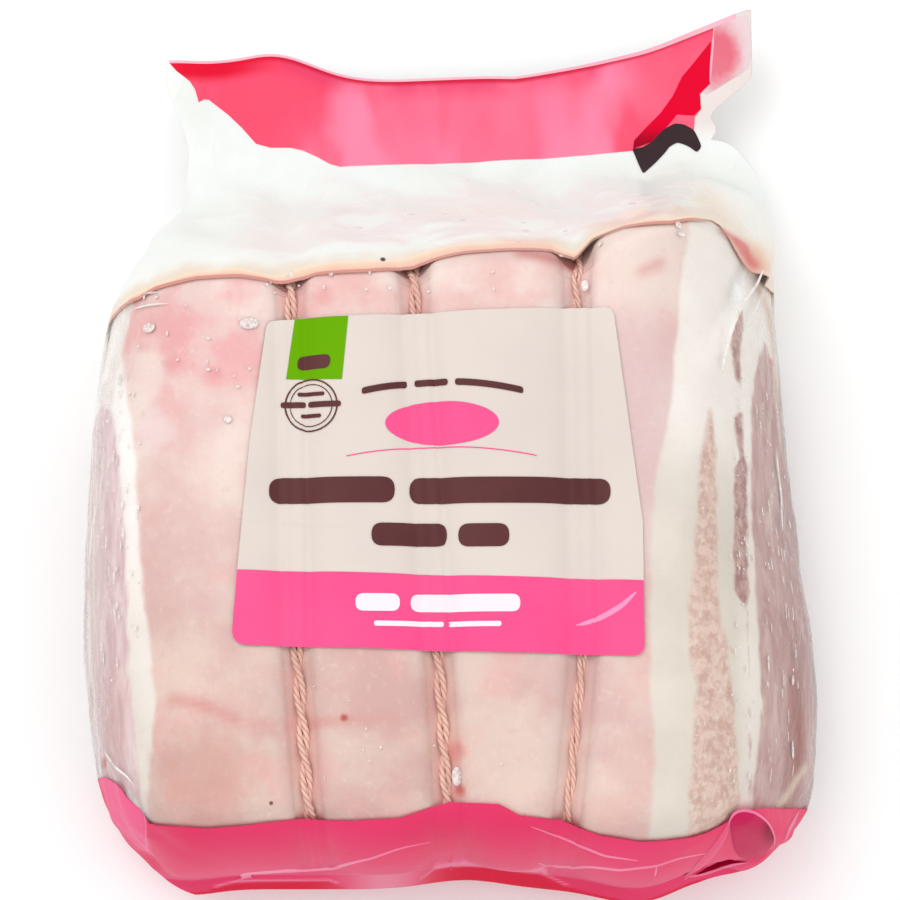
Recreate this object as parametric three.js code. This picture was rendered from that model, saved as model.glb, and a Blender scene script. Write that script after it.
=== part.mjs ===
// A tied boneless shoulder roast, shrunk and sealed in a printed bag, lying on its back.
// X runs across the label, Y from the sealed foot to the flat collar, Z up from the rest plane.
// Millimetres throughout. The shut bag is one solid: twine and meat only show as its relief.
import * as THREE from "three";

// Heights
const SEAM_HEIGHT = 22; // where the front and the back of the bag meet along the flanks
const FACE_RISE = 56.5; // from the seam up to the rind face
const BACK_DROP = 24; // from the seam down; what would pass the rest plane is flattened on it
const SHEET_HALF = 0.7; // half the thickness of the collar and of the foot flap
const FLAP_HEIGHT = 17;
const NECK_HEIGHT = 19;
const COLLAR_HEIGHT = 11;

// Stations along Y
const FOOT_END = -119.8; // edge of the sealed foot flap
const FOOT_SEAM = -116.3; // where the flap meets the rounded foot
const FACE_FOOT = -97.5; // foot end of the flat rind face
const FACE_HEAD = 30; // left head end of the rind face, where the film starts down to the collar
const NECK = 79; // where front and back film meet
const COLLAR_EDGE = 103.8;
const LEFT_TIP_X = 76; // how far out the two corners of the collar lie
const EAR_TIP_X = 80;

// The head end slants away to the right, and each twine loop pinches it in
const HEAD_STEPS = [
  { from: -40, to: 10, reach: 4 },
  { from: 25, to: 62, reach: 12 },
];
const HEAD_PINCH = { reach: 2.5, spread: 6 };

// Half widths, left and right of the middle of the label
const LEFT_HALF = 97.3;
const LEFT_WIDEST_Y = -45;
const LEFT_SWELL_FOOT = 0.0018; // narrowing per mm squared, towards the foot
const LEFT_SWELL_HEAD = 0.0009;
const RIGHT_HALF = 97;
const LEFT_FOOT_CORNER = { from: -85, reach: 35.5, inset: 25 };
const RIGHT_FOOT_CORNER = { from: -84, reach: 36, inset: 36 };
const RIGHT_SHOULDER = { from: 64, reach: 20.5, inset: 17.5 };
const LEFT_SHOULDER = { from: 28, reach: 39, inset: 20.8, bend: 1.4 };
const RIGHT_WAIST = 7; // how much slimmer the right side is by the middle of the pack
const RIGHT_LEAN = 0.06;
const EAR_FLARE = 14.5; // the right end of the collar spreads into an ear
const EAR_FLARE_FROM = 90;
const LEFT_TIP_FLARE = 6.5;
const FLARE_TO = 103;
const ROOT_LOBE = { at: 88, reach: 4.5, spread: 5 }; // film bulging out at the collar's right root
const WAIST_FROM = -72;
const WAIST_TO = 8;

// Waves of the foot seam: the middle loop and the right corner pull it in, and it hangs out
// beside the third loop
const FOOT_WAVES = [
  { at: 4, reach: 2.4, spread: 14 },
  { at: 49, reach: -3.6, spread: 14 },
  { at: 68, reach: 2.8, spread: 11 },
  { at: -68, reach: -1.4, spread: 9 },
];
const FOOT_WAVE_FADE = 0.7; // how fast the waves die away up the rounded foot

// Open edge of the collar: a bump, a raised left tip and the long ear on the right
const EDGE_BUMP = { at: -49.8, reach: 7.1, spread: 16.4 };
const EDGE_TIP = { from: 53, to: 82, reach: 2.6 };
const EDGE_EAR = { from: 17.4, to: 82, reach: 17.2, bend: 1.2 };

// Height of the collar sheet: it droops to its edge, waves, and curls up at both corners
const COLLAR_WAVE = { reach: 2.2, length: 13, phase: 0.6, spread: 70 };
const EAR_CURL = { from: 52, to: 84, reach: 9, bend: 1.3 };
const TIP_CURL = { from: 56, to: 78, reach: 8 };

// Section
const CORNER_POWER = 5; // superellipse power of the section
const FOOT_POWER = 0.77; // roundness of the foot, and of the section's rise over it
const SLOPE_POWER = 0.9;
const LEFT_TAPER = 0.1; // how far each flank leans in towards the face
const RIGHT_TAPER = 0.28;
const BACK_TAPER = 0.06;
const TAPER_BEND = 1.2;

// Twine loops: x at LOOP_HEAD, its lean along the pack, and the extra sway below LOOP_KNEE
const LOOP_HEAD = 32;
const LOOP_KNEE = -60;
const LOOPS = [
  { at: -40.9, lean: 0.025, sway: 0.057 },
  { at: -9.3, lean: 0.066, sway: -0.005 },
  { at: 32.3, lean: 0.014, sway: -0.115 },
];
const GROOVE_DEPTH = 2.4;
const GROOVE_SPREAD = 5;
const TWINE_RISE = 1.3; // film lifted over the doubled twine in the groove
const TWINE_FLAT = 1.8;
const TWINE_FOOT = 3.6;
const BULGE = 1.3; // meat swelling between the loops
const BULGE_SPREAD = 9;

// Relief of the folded film: from, to, how far it stands out and how wide it spreads
const FOLDS = [
  { from: [87, 57, 26], to: [69, 12, 72], height: 4, spread: 4.5 },
  { from: [72, 64, 32], to: [82, 70, 24], height: 3.5, spread: 11 },
  { from: [73, -101, 60], to: [88, -107, 32], height: 3.2, spread: 4 },
  { from: [62, -113, 32], to: [80, -109, 26], height: -3, spread: 4 },
  { from: [-80, -86, 60], to: [-85, -101, 36], height: 1.8, spread: 4 },
  { from: [-70, -106, 60], to: [-78, -113, 26], height: -2.2, spread: 5 },
];
const CRUMPLE = { height: 1, across: 4.4, along: 8, cross: 6, drift: 23 }; // slack film over the head slope
const MEAT_WAVE = { height: 0.8, across: 17, phase: 1, along: 23 };
const TIGHT_FADE = [1, 11]; // past the head end, the film leaves the meat and its loops
const SLACK_START = [4, 16]; // past the head end
const SLACK_STOP = [72, 82]; // along Y
const FLANK_FADE = [58, 92]; // the swelling between the loops dies away down the flanks
const SEAM_FADE = [6, 20]; // and so does all relief near the seam, in mm above or below it
const FOLD_FADE = [SEAM_HEIGHT - 1, SEAM_HEIGHT + 10];

// Mesh density
const SIDE_LEVELS = [0, 0.2, 0.4, 0.58, 0.75, 0.89];
const LOOP_OFFSETS = [-8, -TWINE_FOOT, -TWINE_FLAT, TWINE_FLAT, TWINE_FOOT, 8];
const SPANS = [4, 2, 3, 6]; // columns left of the loops, between them, and right of them
const ROWS = [
  ["flap", 2],
  ["foot", 9],
  ["face", 16],
  ["slope", 14],
  ["collar", 12],
];

const lerp = (a, b, t) => a + (b - a) * t;
const clamp = (v, low, high) => Math.min(high, Math.max(low, v));
const bell = (v, centre, spread) => Math.exp(-(((v - centre) / spread) ** 2));

function ease(v, from, to) {
  const t = clamp((v - from) / (to - from), 0, 1);
  return t * t * (3 - 2 * t);
}

// How far a rounded corner has cut in at a distance past its start.
function roundedInset(past, corner) {
  const t = clamp(past / corner.reach, 0, 1);
  return corner.inset * (1 - Math.sqrt(1 - t * t));
}

function leftHalf(y) {
  const swell = y < LEFT_WIDEST_Y ? LEFT_SWELL_FOOT : LEFT_SWELL_HEAD;
  const upTo = Math.min(y, LEFT_SHOULDER.from);
  const body = LEFT_HALF - swell * (upTo - LEFT_WIDEST_Y) ** 2;
  const past = clamp((y - LEFT_SHOULDER.from) / LEFT_SHOULDER.reach, 0, 1);
  const shoulder = LEFT_SHOULDER.inset * past ** LEFT_SHOULDER.bend;
  const foot = roundedInset(LEFT_FOOT_CORNER.from - y, LEFT_FOOT_CORNER);
  return body - shoulder - foot + LEFT_TIP_FLARE * ease(y, NECK, FLARE_TO);
}

function rightHalf(y) {
  const lean = RIGHT_LEAN * clamp(y, 0, RIGHT_SHOULDER.from);
  const body = RIGHT_HALF - RIGHT_WAIST * ease(y, WAIST_FROM, WAIST_TO) - lean;
  const shoulder = roundedInset(y - RIGHT_SHOULDER.from, RIGHT_SHOULDER);
  const foot = roundedInset(RIGHT_FOOT_CORNER.from - y, RIGHT_FOOT_CORNER);
  const lobe = ROOT_LOBE.reach * bell(y, ROOT_LOBE.at, ROOT_LOBE.spread);
  return body - shoulder - foot + lobe + EAR_FLARE * ease(y, EAR_FLARE_FROM, FLARE_TO);
}

function headAt(x) {
  const slant = HEAD_STEPS.reduce((sum, s) => sum + s.reach * ease(x, s.from, s.to), 0);
  const pinch = LOOPS.reduce((sum, loop) => sum + bell(x, loop.at, HEAD_PINCH.spread), 0);
  return FACE_HEAD + slant - HEAD_PINCH.reach * pinch;
}

function footWave(x) {
  return FOOT_WAVES.reduce((sum, w) => sum + w.reach * bell(x, w.at, w.spread), 0);
}

function collarEdge(x) {
  const bump = EDGE_BUMP.reach * bell(x, EDGE_BUMP.at, EDGE_BUMP.spread);
  const tip = EDGE_TIP.reach * ease(-x, EDGE_TIP.from, EDGE_TIP.to);
  const along = clamp((x - EDGE_EAR.from) / (EDGE_EAR.to - EDGE_EAR.from), 0, 1);
  return COLLAR_EDGE + bump + tip + EDGE_EAR.reach * along ** EDGE_EAR.bend;
}

function collarHeight(x, t) {
  const droop = lerp(NECK_HEIGHT, COLLAR_HEIGHT, t);
  const swing = Math.sin(x / COLLAR_WAVE.length + COLLAR_WAVE.phase);
  const wave = COLLAR_WAVE.reach * swing * t * bell(x, 0, COLLAR_WAVE.spread);
  const ear = EAR_CURL.reach * ease(x, EAR_CURL.from, EAR_CURL.to) * t ** EAR_CURL.bend;
  const tip = TIP_CURL.reach * ease(-x, TIP_CURL.from, TIP_CURL.to) * t;
  return droop + wave + ear + tip;
}

// One station of the bag: half widths, rise and drop from the seam, and the y and seam height at an x.
function station(zone, t) {
  if (zone === "flap") {
    const y = lerp(FOOT_END, FOOT_SEAM, t);
    return {
      left: leftHalf(y),
      right: rightHalf(y),
      rise: SHEET_HALF,
      drop: SHEET_HALF,
      yAt: (x) => y + footWave(x),
      seamAt: () => lerp(FLAP_HEIGHT, SEAM_HEIGHT, t),
    };
  }
  if (zone === "foot") {
    const turn = (t * Math.PI) / 2;
    const y = FOOT_SEAM + (FACE_FOOT - FOOT_SEAM) * (1 - Math.cos(turn) ** FOOT_POWER);
    const swell = Math.sin(turn) ** FOOT_POWER;
    return {
      left: leftHalf(y),
      right: rightHalf(y),
      rise: lerp(SHEET_HALF, FACE_RISE, swell),
      drop: lerp(SHEET_HALF, BACK_DROP, swell),
      yAt: (x) => y + footWave(x) * (1 - t) ** FOOT_WAVE_FADE,
      seamAt: () => SEAM_HEIGHT,
    };
  }
  if (zone === "face") {
    const yAt = (x) => lerp(FACE_FOOT, headAt(x), t);
    return {
      left: leftHalf(yAt(-LEFT_HALF)),
      right: rightHalf(yAt(RIGHT_HALF)),
      rise: FACE_RISE,
      drop: BACK_DROP,
      yAt,
      seamAt: () => SEAM_HEIGHT,
    };
  }
  if (zone === "slope") {
    const yAt = (x) => lerp(headAt(x), NECK, t);
    const fall = (1 + Math.cos(Math.PI * t ** SLOPE_POWER)) / 2;
    return {
      left: leftHalf(yAt(-LEFT_HALF)),
      right: rightHalf(yAt(RIGHT_HALF)),
      rise: lerp(SHEET_HALF, FACE_RISE, fall),
      drop: lerp(SHEET_HALF, BACK_DROP, Math.sqrt(1 - t ** 3)),
      yAt,
      seamAt: () => lerp(SEAM_HEIGHT, NECK_HEIGHT, t),
    };
  }
  return {
    left: leftHalf(lerp(NECK, collarEdge(-LEFT_TIP_X), t)),
    right: rightHalf(lerp(NECK, collarEdge(EAR_TIP_X), t)),
    rise: SHEET_HALF,
    drop: SHEET_HALF,
    yAt: (x) => lerp(NECK, collarEdge(x), t),
    seamAt: (x) => collarHeight(x, t),
  };
}

// A point of the section from a place on the unit square (level 0 at the seam, 1 on the face).
function sectionPoint(at, across, level, side) {
  const power = (Math.abs(across) ** CORNER_POWER + level ** CORNER_POWER) ** (-1 / CORNER_POWER);
  const reach = across * power;
  const lift = level * power;
  const leftOrRight = across < 0 ? LEFT_TAPER : RIGHT_TAPER;
  const taper = side > 0 ? leftOrRight : BACK_TAPER;
  const half = across < 0 ? at.left : at.right;
  const x = reach * half * (1 - taper * lift ** TAPER_BEND);
  const z = at.seamAt(x) + (side > 0 ? at.rise : -at.drop) * lift;
  return new THREE.Vector3(x, at.yAt(x), z);
}

function loopX(loop, y) {
  return loop.at + loop.lean * (LOOP_HEAD - y) + loop.sway * Math.max(0, LOOP_KNEE - y);
}

// The places across the section where columns run, so that six of them follow each twine loop.
function acrossList(at, y) {
  const xs = [];
  LOOPS.forEach((loop) => {
    const centre = loopX(loop, clamp(y, FOOT_SEAM, NECK));
    LOOP_OFFSETS.forEach((offset) => xs.push(centre + offset));
  });
  const places = xs.map((x) => {
    const half = x < 0 ? at.left * (1 - LEFT_TAPER) : at.right * (1 - RIGHT_TAPER);
    const reach = x / half;
    return reach / (1 - Math.abs(reach) ** CORNER_POWER) ** (1 / CORNER_POWER);
  });
  const list = [];
  const stretch = (from, to, count) => {
    for (let i = 0; i < count; i++) list.push(lerp(from, to, i / count));
  };
  const perLoop = LOOP_OFFSETS.length;
  stretch(-1, places[0], SPANS[0]);
  LOOPS.forEach((_, k) => {
    const first = k * perLoop;
    for (let i = first; i < first + perLoop - 1; i++) list.push(places[i]);
    const last = first + perLoop - 1;
    const next = k < LOOPS.length - 1 ? places[last + 1] : 1;
    stretch(places[last], next, SPANS[k + 1]);
  });
  return list;
}

// One side of the section, from the left seam to just before the right seam.
function sidePoints(at, y, side) {
  const points = SIDE_LEVELS.map((level) => sectionPoint(at, -1, level, side));
  acrossList(at, y).forEach((across) => points.push(sectionPoint(at, across, 1, side)));
  points.push(sectionPoint(at, 1, 1, side));
  [...SIDE_LEVELS].reverse().forEach((level) => points.push(sectionPoint(at, 1, level, side)));
  return points;
}

// A closed ring: the front from left to right, then the back from right to left.
function ring(zone, t) {
  const at = station(zone, t);
  const y = at.yAt(0);
  const front = sidePoints(at, y, 1);
  const back = sidePoints(at, y, -1).slice(1, -1).reverse();
  return [...front, ...back];
}

function segmentDistance(p, from, to) {
  const a = new THREE.Vector3(...from);
  const along = new THREE.Vector3(...to).sub(a);
  const t = clamp(p.clone().sub(a).dot(along) / along.lengthSq(), 0, 1);
  return p.distanceTo(a.addScaledVector(along, t));
}

// How far the skin stands out from the plain form at a point.
function relief(p) {
  const past = p.y - headAt(p.x);
  const tight = 1 - ease(past, ...TIGHT_FADE);
  const swollen = ease(Math.abs(p.z - SEAM_HEIGHT), ...SEAM_FADE);
  let groove = 0;
  let ridge = 0;
  let pinch = 0;
  LOOPS.forEach((loop) => {
    const off = Math.abs(p.x - loopX(loop, p.y));
    groove += bell(off, 0, GROOVE_SPREAD);
    pinch += bell(off, 0, BULGE_SPREAD);
    ridge += clamp((TWINE_FOOT - off) / (TWINE_FOOT - TWINE_FLAT), 0, 1);
  });
  const flank = 1 - ease(Math.abs(p.x), ...FLANK_FADE);
  const tied = BULGE * flank * (1 - pinch) - GROOVE_DEPTH * groove + TWINE_RISE * ridge;
  const slack = ease(past, ...SLACK_START) * (1 - ease(p.y, ...SLACK_STOP));
  const ripple = Math.sin(p.x / CRUMPLE.across + p.y / CRUMPLE.along);
  const cross = Math.cos(p.y / CRUMPLE.cross - p.x / CRUMPLE.drift);
  const crumple = CRUMPLE.height * slack * ripple * cross;
  const roll = Math.sin(p.x / MEAT_WAVE.across + MEAT_WAVE.phase) * Math.cos(p.y / MEAT_WAVE.along);
  const meat = MEAT_WAVE.height * roll * tight * swollen;
  let folds = 0;
  FOLDS.forEach((f) => {
    folds += f.height * bell(segmentDistance(p, f.from, f.to), 0, f.spread);
  });
  const frontOnly = ease(p.z, ...FOLD_FADE);
  return tied * tight * swollen + crumple + meat + folds * frontOnly;
}

function buildRings() {
  const rings = [];
  ROWS.forEach(([zone, count], index) => {
    for (let i = index ? 1 : 0; i <= count; i++) rings.push(ring(zone, i / count));
  });
  return rings;
}

// Pushes every point out along the plain form's own normal, and flattens the back on the rest plane.
function reliefRings(rings) {
  const around = rings[0].length;
  return rings.map((points, r) =>
    points.map((p, c) => {
      const onward = rings[Math.min(r + 1, rings.length - 1)][c].clone();
      onward.sub(rings[Math.max(r - 1, 0)][c]);
      const beside = points[(c + 1) % around].clone().sub(points[(c + around - 1) % around]);
      const normal = beside.cross(onward).normalize();
      const moved = p.clone().addScaledVector(normal, relief(p));
      moved.z = Math.max(moved.z, 0);
      return moved;
    }),
  );
}

function skinGeometry() {
  const rings = reliefRings(buildRings());
  const around = rings[0].length;
  const positions = [];
  rings.forEach((points) => points.forEach((p) => positions.push(p.x, p.y, p.z)));
  const faces = [];
  const quad = (a, b, c, d) => faces.push(a, b, c, a, c, d);
  for (let r = 0; r < rings.length - 1; r++) {
    for (let c = 0; c < around; c++) {
      const next = (c + 1) % around;
      quad(r * around + c, r * around + next, (r + 1) * around + next, (r + 1) * around + c);
    }
  }
  closeEnd(faces, around, 0, false);
  closeEnd(faces, around, (rings.length - 1) * around, true);
  const geometry = new THREE.BufferGeometry();
  geometry.setAttribute("position", new THREE.Float32BufferAttribute(positions, 3));
  geometry.setIndex(faces);
  return geometry;
}

// Closes an end ring with a strip from each front point to the back point under it.
function closeEnd(faces, around, start, flip) {
  const triangle = (a, b, c) => {
    if (a === b || b === c || a === c) return;
    if (flip) faces.push(a, b, c);
    else faces.push(a, c, b);
  };
  const half = around / 2;
  for (let i = 0; i < half; i++) {
    const front = start + i;
    const frontNext = start + i + 1;
    const back = start + ((around - i) % around);
    const backNext = start + (around - i - 1);
    triangle(front, frontNext, backNext);
    triangle(front, backNext, back);
  }
}

// The origin is under the middle of the pack, on the rest plane.
function centred(geometry) {
  geometry.computeBoundingBox();
  const { min, max } = geometry.boundingBox;
  return geometry.translate(-(min.x + max.x) / 2, -(min.y + max.y) / 2, -min.z);
}

const bagSkin = new THREE.MeshStandardMaterial({ color: 0xeccdc6, roughness: 0.25, metalness: 0 });
bagSkin.name = "bag_skin";

const bag = new THREE.Mesh(centred(skinGeometry()), bagSkin);
bag.name = "sealed_bag";

const group = new THREE.Group();
group.add(bag);

export default group;
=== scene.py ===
"""A tied boneless shoulder roast, shrunk and sealed in a printed bag, lying rind side up.

Lengths are in millimetres until a mesh is made. X runs across the label, Y from the sealed foot to
the flat collar, Z up from the floor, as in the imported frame.
"""

import math

import bmesh
import bpy
import numpy as np
from mathutils import Matrix, Vector, noise
from mathutils.bvhtree import BVHTree
from mathutils.geometry import delaunay_2d_cdt


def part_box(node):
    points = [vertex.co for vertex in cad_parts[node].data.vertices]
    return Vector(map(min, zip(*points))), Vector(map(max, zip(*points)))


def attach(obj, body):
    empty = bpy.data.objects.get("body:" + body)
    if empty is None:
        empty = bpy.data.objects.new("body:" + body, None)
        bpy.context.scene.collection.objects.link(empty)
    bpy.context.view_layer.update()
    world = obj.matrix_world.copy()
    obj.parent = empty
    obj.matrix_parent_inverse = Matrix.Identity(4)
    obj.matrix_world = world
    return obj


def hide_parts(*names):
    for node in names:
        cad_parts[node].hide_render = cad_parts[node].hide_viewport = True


MM = 0.001

# The bag's plain form: heights, stations along Y, half widths
SEAM_HEIGHT = 22.0
FACE_RISE = 56.5
BACK_DROP = 24.0
SHEET_HALF = 0.7
FLAP_HEIGHT = 17.0
NECK_HEIGHT = 19.0
COLLAR_HEIGHT = 11.0
FOOT_END, FOOT_SEAM, FACE_FOOT, FACE_HEAD, NECK, COLLAR_EDGE = -119.8, -116.3, -97.5, 30.0, 79.0, 103.8
LEFT_TIP_X, EAR_TIP_X = 76.0, 80.0
HEAD_STEPS = ((-40.0, 10.0, 4.0), (25.0, 62.0, 12.0))  # from, to, reach
HEAD_PINCH, HEAD_PINCH_SPREAD = 2.5, 6.0
LEFT_HALF, LEFT_WIDEST_Y, LEFT_SWELL_FOOT, LEFT_SWELL_HEAD = 97.3, -45.0, 0.0018, 0.0009
RIGHT_HALF, RIGHT_WAIST, RIGHT_LEAN = 97.0, 7.0, 0.06
WAIST_FROM, WAIST_TO = -72.0, 8.0
LEFT_FOOT_CORNER = (-85.0, 35.5, 25.0)  # from, reach, inset
RIGHT_FOOT_CORNER = (-84.0, 36.0, 36.0)
RIGHT_SHOULDER = (64.0, 20.5, 17.5)
LEFT_SHOULDER = (28.0, 39.0, 20.8, 1.4)  # and its bend
EAR_FLARE, EAR_FLARE_FROM, LEFT_TIP_FLARE, FLARE_TO = 14.5, 90.0, 6.5, 103.0
ROOT_LOBE = (88.0, 4.5, 5.0)  # at, reach, spread
FOOT_WAVES = (  # at, reach, spread
    (4.0, 2.4, 14.0), (49.0, -3.6, 14.0), (68.0, 2.8, 11.0), (-68.0, -1.4, 9.0))
FOOT_WAVE_FADE = 0.7
EDGE_BUMP = (-49.8, 7.1, 16.4)
EDGE_TIP = (53.0, 82.0, 2.6)  # from, to, reach
EDGE_EAR = (17.4, 82.0, 17.2, 1.2)  # and its bend
COLLAR_WAVE = (2.2, 13.0, 0.6, 70.0)  # reach, length, phase, spread
EAR_CURL = (52.0, 84.0, 9.0, 1.3)
TIP_CURL = (56.0, 78.0, 8.0)
CORNER_POWER, FOOT_POWER, SLOPE_POWER, TAPER_BEND = 5.0, 0.77, 0.9, 1.2
LEFT_TAPER, RIGHT_TAPER, BACK_TAPER = 0.1, 0.28, 0.06

# Twine loops and the relief over them
LOOP_HEAD, LOOP_KNEE = 32.0, -60.0
LOOPS = (  # at, lean, sway, and how much deeper the loop is sunk
    (-40.9, 0.025, 0.057, 0.0),
    (-9.3, 0.066, -0.005, 0.1),
    (32.3, 0.014, -0.115, 0.4),
)
GROOVE_DEPTH, GROOVE_SPREAD, TWINE_RISE, TWINE_FLAT, TWINE_FOOT = 2.4, 5.0, 1.3, 1.8, 3.6
BULGE, BULGE_SPREAD, FLANK_FADE = 1.3, 9.0, (58.0, 92.0)
FOLDS = (  # from, to, how far it stands out, how wide it spreads
    ((87, 57, 26), (69, 12, 72), 4.0, 4.5),
    ((72, 64, 32), (82, 70, 24), 3.5, 11.0),
    ((73, -101, 60), (88, -107, 32), 3.2, 4.0),
    ((62, -113, 32), (80, -109, 26), -3.0, 4.0),
    ((-80, -86, 60), (-85, -101, 36), 1.8, 4.0),
    ((-70, -106, 60), (-78, -113, 26), -2.2, 5.0),
)
CRUMPLE = (1.0, 4.4, 8.0, 6.0, 23.0)  # height, across, along, cross, drift
MEAT_WAVE = (0.8, 17.0, 1.0, 23.0)  # height, across, phase, along
TIGHT_FADE, SLACK_START, SLACK_STOP = (1.0, 11.0), (4.0, 16.0), (72.0, 82.0)
SEAM_FADE, FOLD_FADE = (6.0, 20.0), (SEAM_HEIGHT - 1, SEAM_HEIGHT + 10)

# The roast inside
MEAT_INSET = 0.7  # from the film in to the meat
MEAT_GROOVE, MEAT_GROOVE_SPREAD = 3.4, 3.8  # the twine bites deeper into the meat than into the film
HEAD_SHARE = 0.76  # how far the meat's head end follows the film's slope
HEAD_INSET = 1.4  # how much further in it lies there
HEAD_ROUND = 5.0
RIND_STEP = 0.5  # the rind's edge stands proud of the fat at the head
RIND_TOP = (  # the rind's head edge in plan, as (x, y)
    (-92.0, 27.5), (-88.8, 29.0), (-79.7, 30.2), (-75.5, 31.9), (-64.6, 33.5), (-53.6, 33.6), (-42.8, 32.1), (-34.1, 34.1),
    (-20.8, 34.6), (-9.7, 36.1), (-4.9, 38.1), (3.6, 39.8), (14.8, 40.8), (25.8, 41.0), (31.9, 38.6),
    (36.5, 44.5), (44.3, 47.3), (56.6, 48.6), (61.8, 50.5), (68.1, 51.9),
    (70.3, 50.9), (74.5, 45.5), (79.3, 40.5), (92.0, 40.5))


def lerp(a, b, t):
    return a + (b - a) * t


def ease(v, low, high):
    t = np.clip((v - low) / (high - low), 0, 1)
    return t * t * (3 - 2 * t)


def bell(v, centre, spread):
    return np.exp(-(((v - centre) / spread) ** 2))


def along(points, v, column=1):
    """The value at v of a line of (v, value, ...) points."""
    points = sorted(points)
    return np.interp(v, [p[0] for p in points], [p[column] for p in points])


def rounded_inset(past, corner):
    t = np.clip(past / corner[1], 0, 1)
    return corner[2] * (1 - np.sqrt(1 - t * t))


def left_half(y):
    swell = np.where(y < LEFT_WIDEST_Y, LEFT_SWELL_FOOT, LEFT_SWELL_HEAD)
    body = LEFT_HALF - swell * (np.minimum(y, LEFT_SHOULDER[0]) - LEFT_WIDEST_Y) ** 2
    past = np.clip((y - LEFT_SHOULDER[0]) / LEFT_SHOULDER[1], 0, 1)
    shoulder = LEFT_SHOULDER[2] * past ** LEFT_SHOULDER[3]
    foot = rounded_inset(LEFT_FOOT_CORNER[0] - y, LEFT_FOOT_CORNER)
    return body - shoulder - foot + LEFT_TIP_FLARE * ease(y, NECK, FLARE_TO)


def right_half(y):
    lean = RIGHT_LEAN * np.clip(y, 0, RIGHT_SHOULDER[0])
    body = RIGHT_HALF - RIGHT_WAIST * ease(y, WAIST_FROM, WAIST_TO) - lean
    shoulder = rounded_inset(y - RIGHT_SHOULDER[0], RIGHT_SHOULDER)
    foot = rounded_inset(RIGHT_FOOT_CORNER[0] - y, RIGHT_FOOT_CORNER)
    lobe = ROOT_LOBE[1] * bell(y, ROOT_LOBE[0], ROOT_LOBE[2])
    return body - shoulder - foot + lobe + EAR_FLARE * ease(y, EAR_FLARE_FROM, FLARE_TO)


def loop_x(loop, y):
    return loop[0] + loop[1] * (LOOP_HEAD - y) + loop[2] * np.maximum(0, LOOP_KNEE - y)


def head_at(x):
    slant = sum(reach * ease(x, low, high) for low, high, reach in HEAD_STEPS)
    pinch = sum(bell(x, loop[0], HEAD_PINCH_SPREAD) for loop in LOOPS)
    return FACE_HEAD + slant - HEAD_PINCH * pinch


def foot_wave(x):
    return sum(reach * bell(x, at, spread) for at, reach, spread in FOOT_WAVES)


def collar_edge(x):
    bump = EDGE_BUMP[1] * bell(x, EDGE_BUMP[0], EDGE_BUMP[2])
    tip = EDGE_TIP[2] * ease(-x, EDGE_TIP[0], EDGE_TIP[1])
    ear = np.clip((x - EDGE_EAR[0]) / (EDGE_EAR[1] - EDGE_EAR[0]), 0, 1)
    return COLLAR_EDGE + bump + tip + EDGE_EAR[2] * ear ** EDGE_EAR[3]


def collar_height(x, t):
    reach, length, phase, spread = COLLAR_WAVE
    wave = reach * np.sin(x / length + phase) * t * bell(x, 0, spread)
    ear = EAR_CURL[2] * ease(x, EAR_CURL[0], EAR_CURL[1]) * t ** EAR_CURL[3]
    tip = TIP_CURL[2] * ease(-x, TIP_CURL[0], TIP_CURL[1]) * t
    return lerp(NECK_HEIGHT, COLLAR_HEIGHT, t) + wave + ear + tip


def station_y(zone, t, x):
    """Y of the bag at x, for zones 0 flap, 1 foot, 2 face, 3 slope and 4 collar."""
    rounding = np.cos(np.clip(t, 0, 1) * math.pi / 2) ** FOOT_POWER
    foot = FOOT_SEAM + (FACE_FOOT - FOOT_SEAM) * (1 - rounding)
    return np.choose(zone, [
        lerp(FOOT_END, FOOT_SEAM, t) + foot_wave(x),
        foot + foot_wave(x) * (1 - t) ** FOOT_WAVE_FADE,
        lerp(FACE_FOOT, head_at(x), t),
        lerp(head_at(x), NECK, t),
        lerp(NECK, collar_edge(x), t),
    ])


def station_width_y(zone, t, x):
    """The Y that sets the half width; the waves of the foot don't change it."""
    return station_y(zone, t, x) - np.choose(zone, [
        foot_wave(x), foot_wave(x) * (1 - t) ** FOOT_WAVE_FADE, 0 * t, 0 * t, 0 * t])


def split_row(row):
    zone = np.clip(np.floor(row), 0, 4).astype(int)
    return zone, np.clip(row - zone, 0, 1)


def around_square(turn):
    """Across and level on the unit square, and the side, for a turn of 0 to 6 round the bag."""
    turn = np.mod(turn, 6)
    side = np.where(turn <= 3, 1.0, -1.0)
    w = np.where(turn <= 3, turn, 6 - turn)
    across = np.clip(2 * w - 3, -1, 1)
    level = np.clip(np.minimum(w, 3 - w), 0, 1)
    return across, level, side


def section(left, right, rise, drop, across, level, side):
    """Plan x and the height above or below the seam, on a section of rounded corners."""
    power = (np.abs(across) ** CORNER_POWER + level ** CORNER_POWER) ** (-1 / CORNER_POWER)
    lift = level * power
    taper = np.where(side > 0, np.where(across < 0, LEFT_TAPER, RIGHT_TAPER), BACK_TAPER)
    half = np.where(across < 0, left, right)
    x = across * power * half * (1 - taper * lift ** TAPER_BEND)
    return x, np.where(side > 0, rise, -drop) * lift


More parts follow.
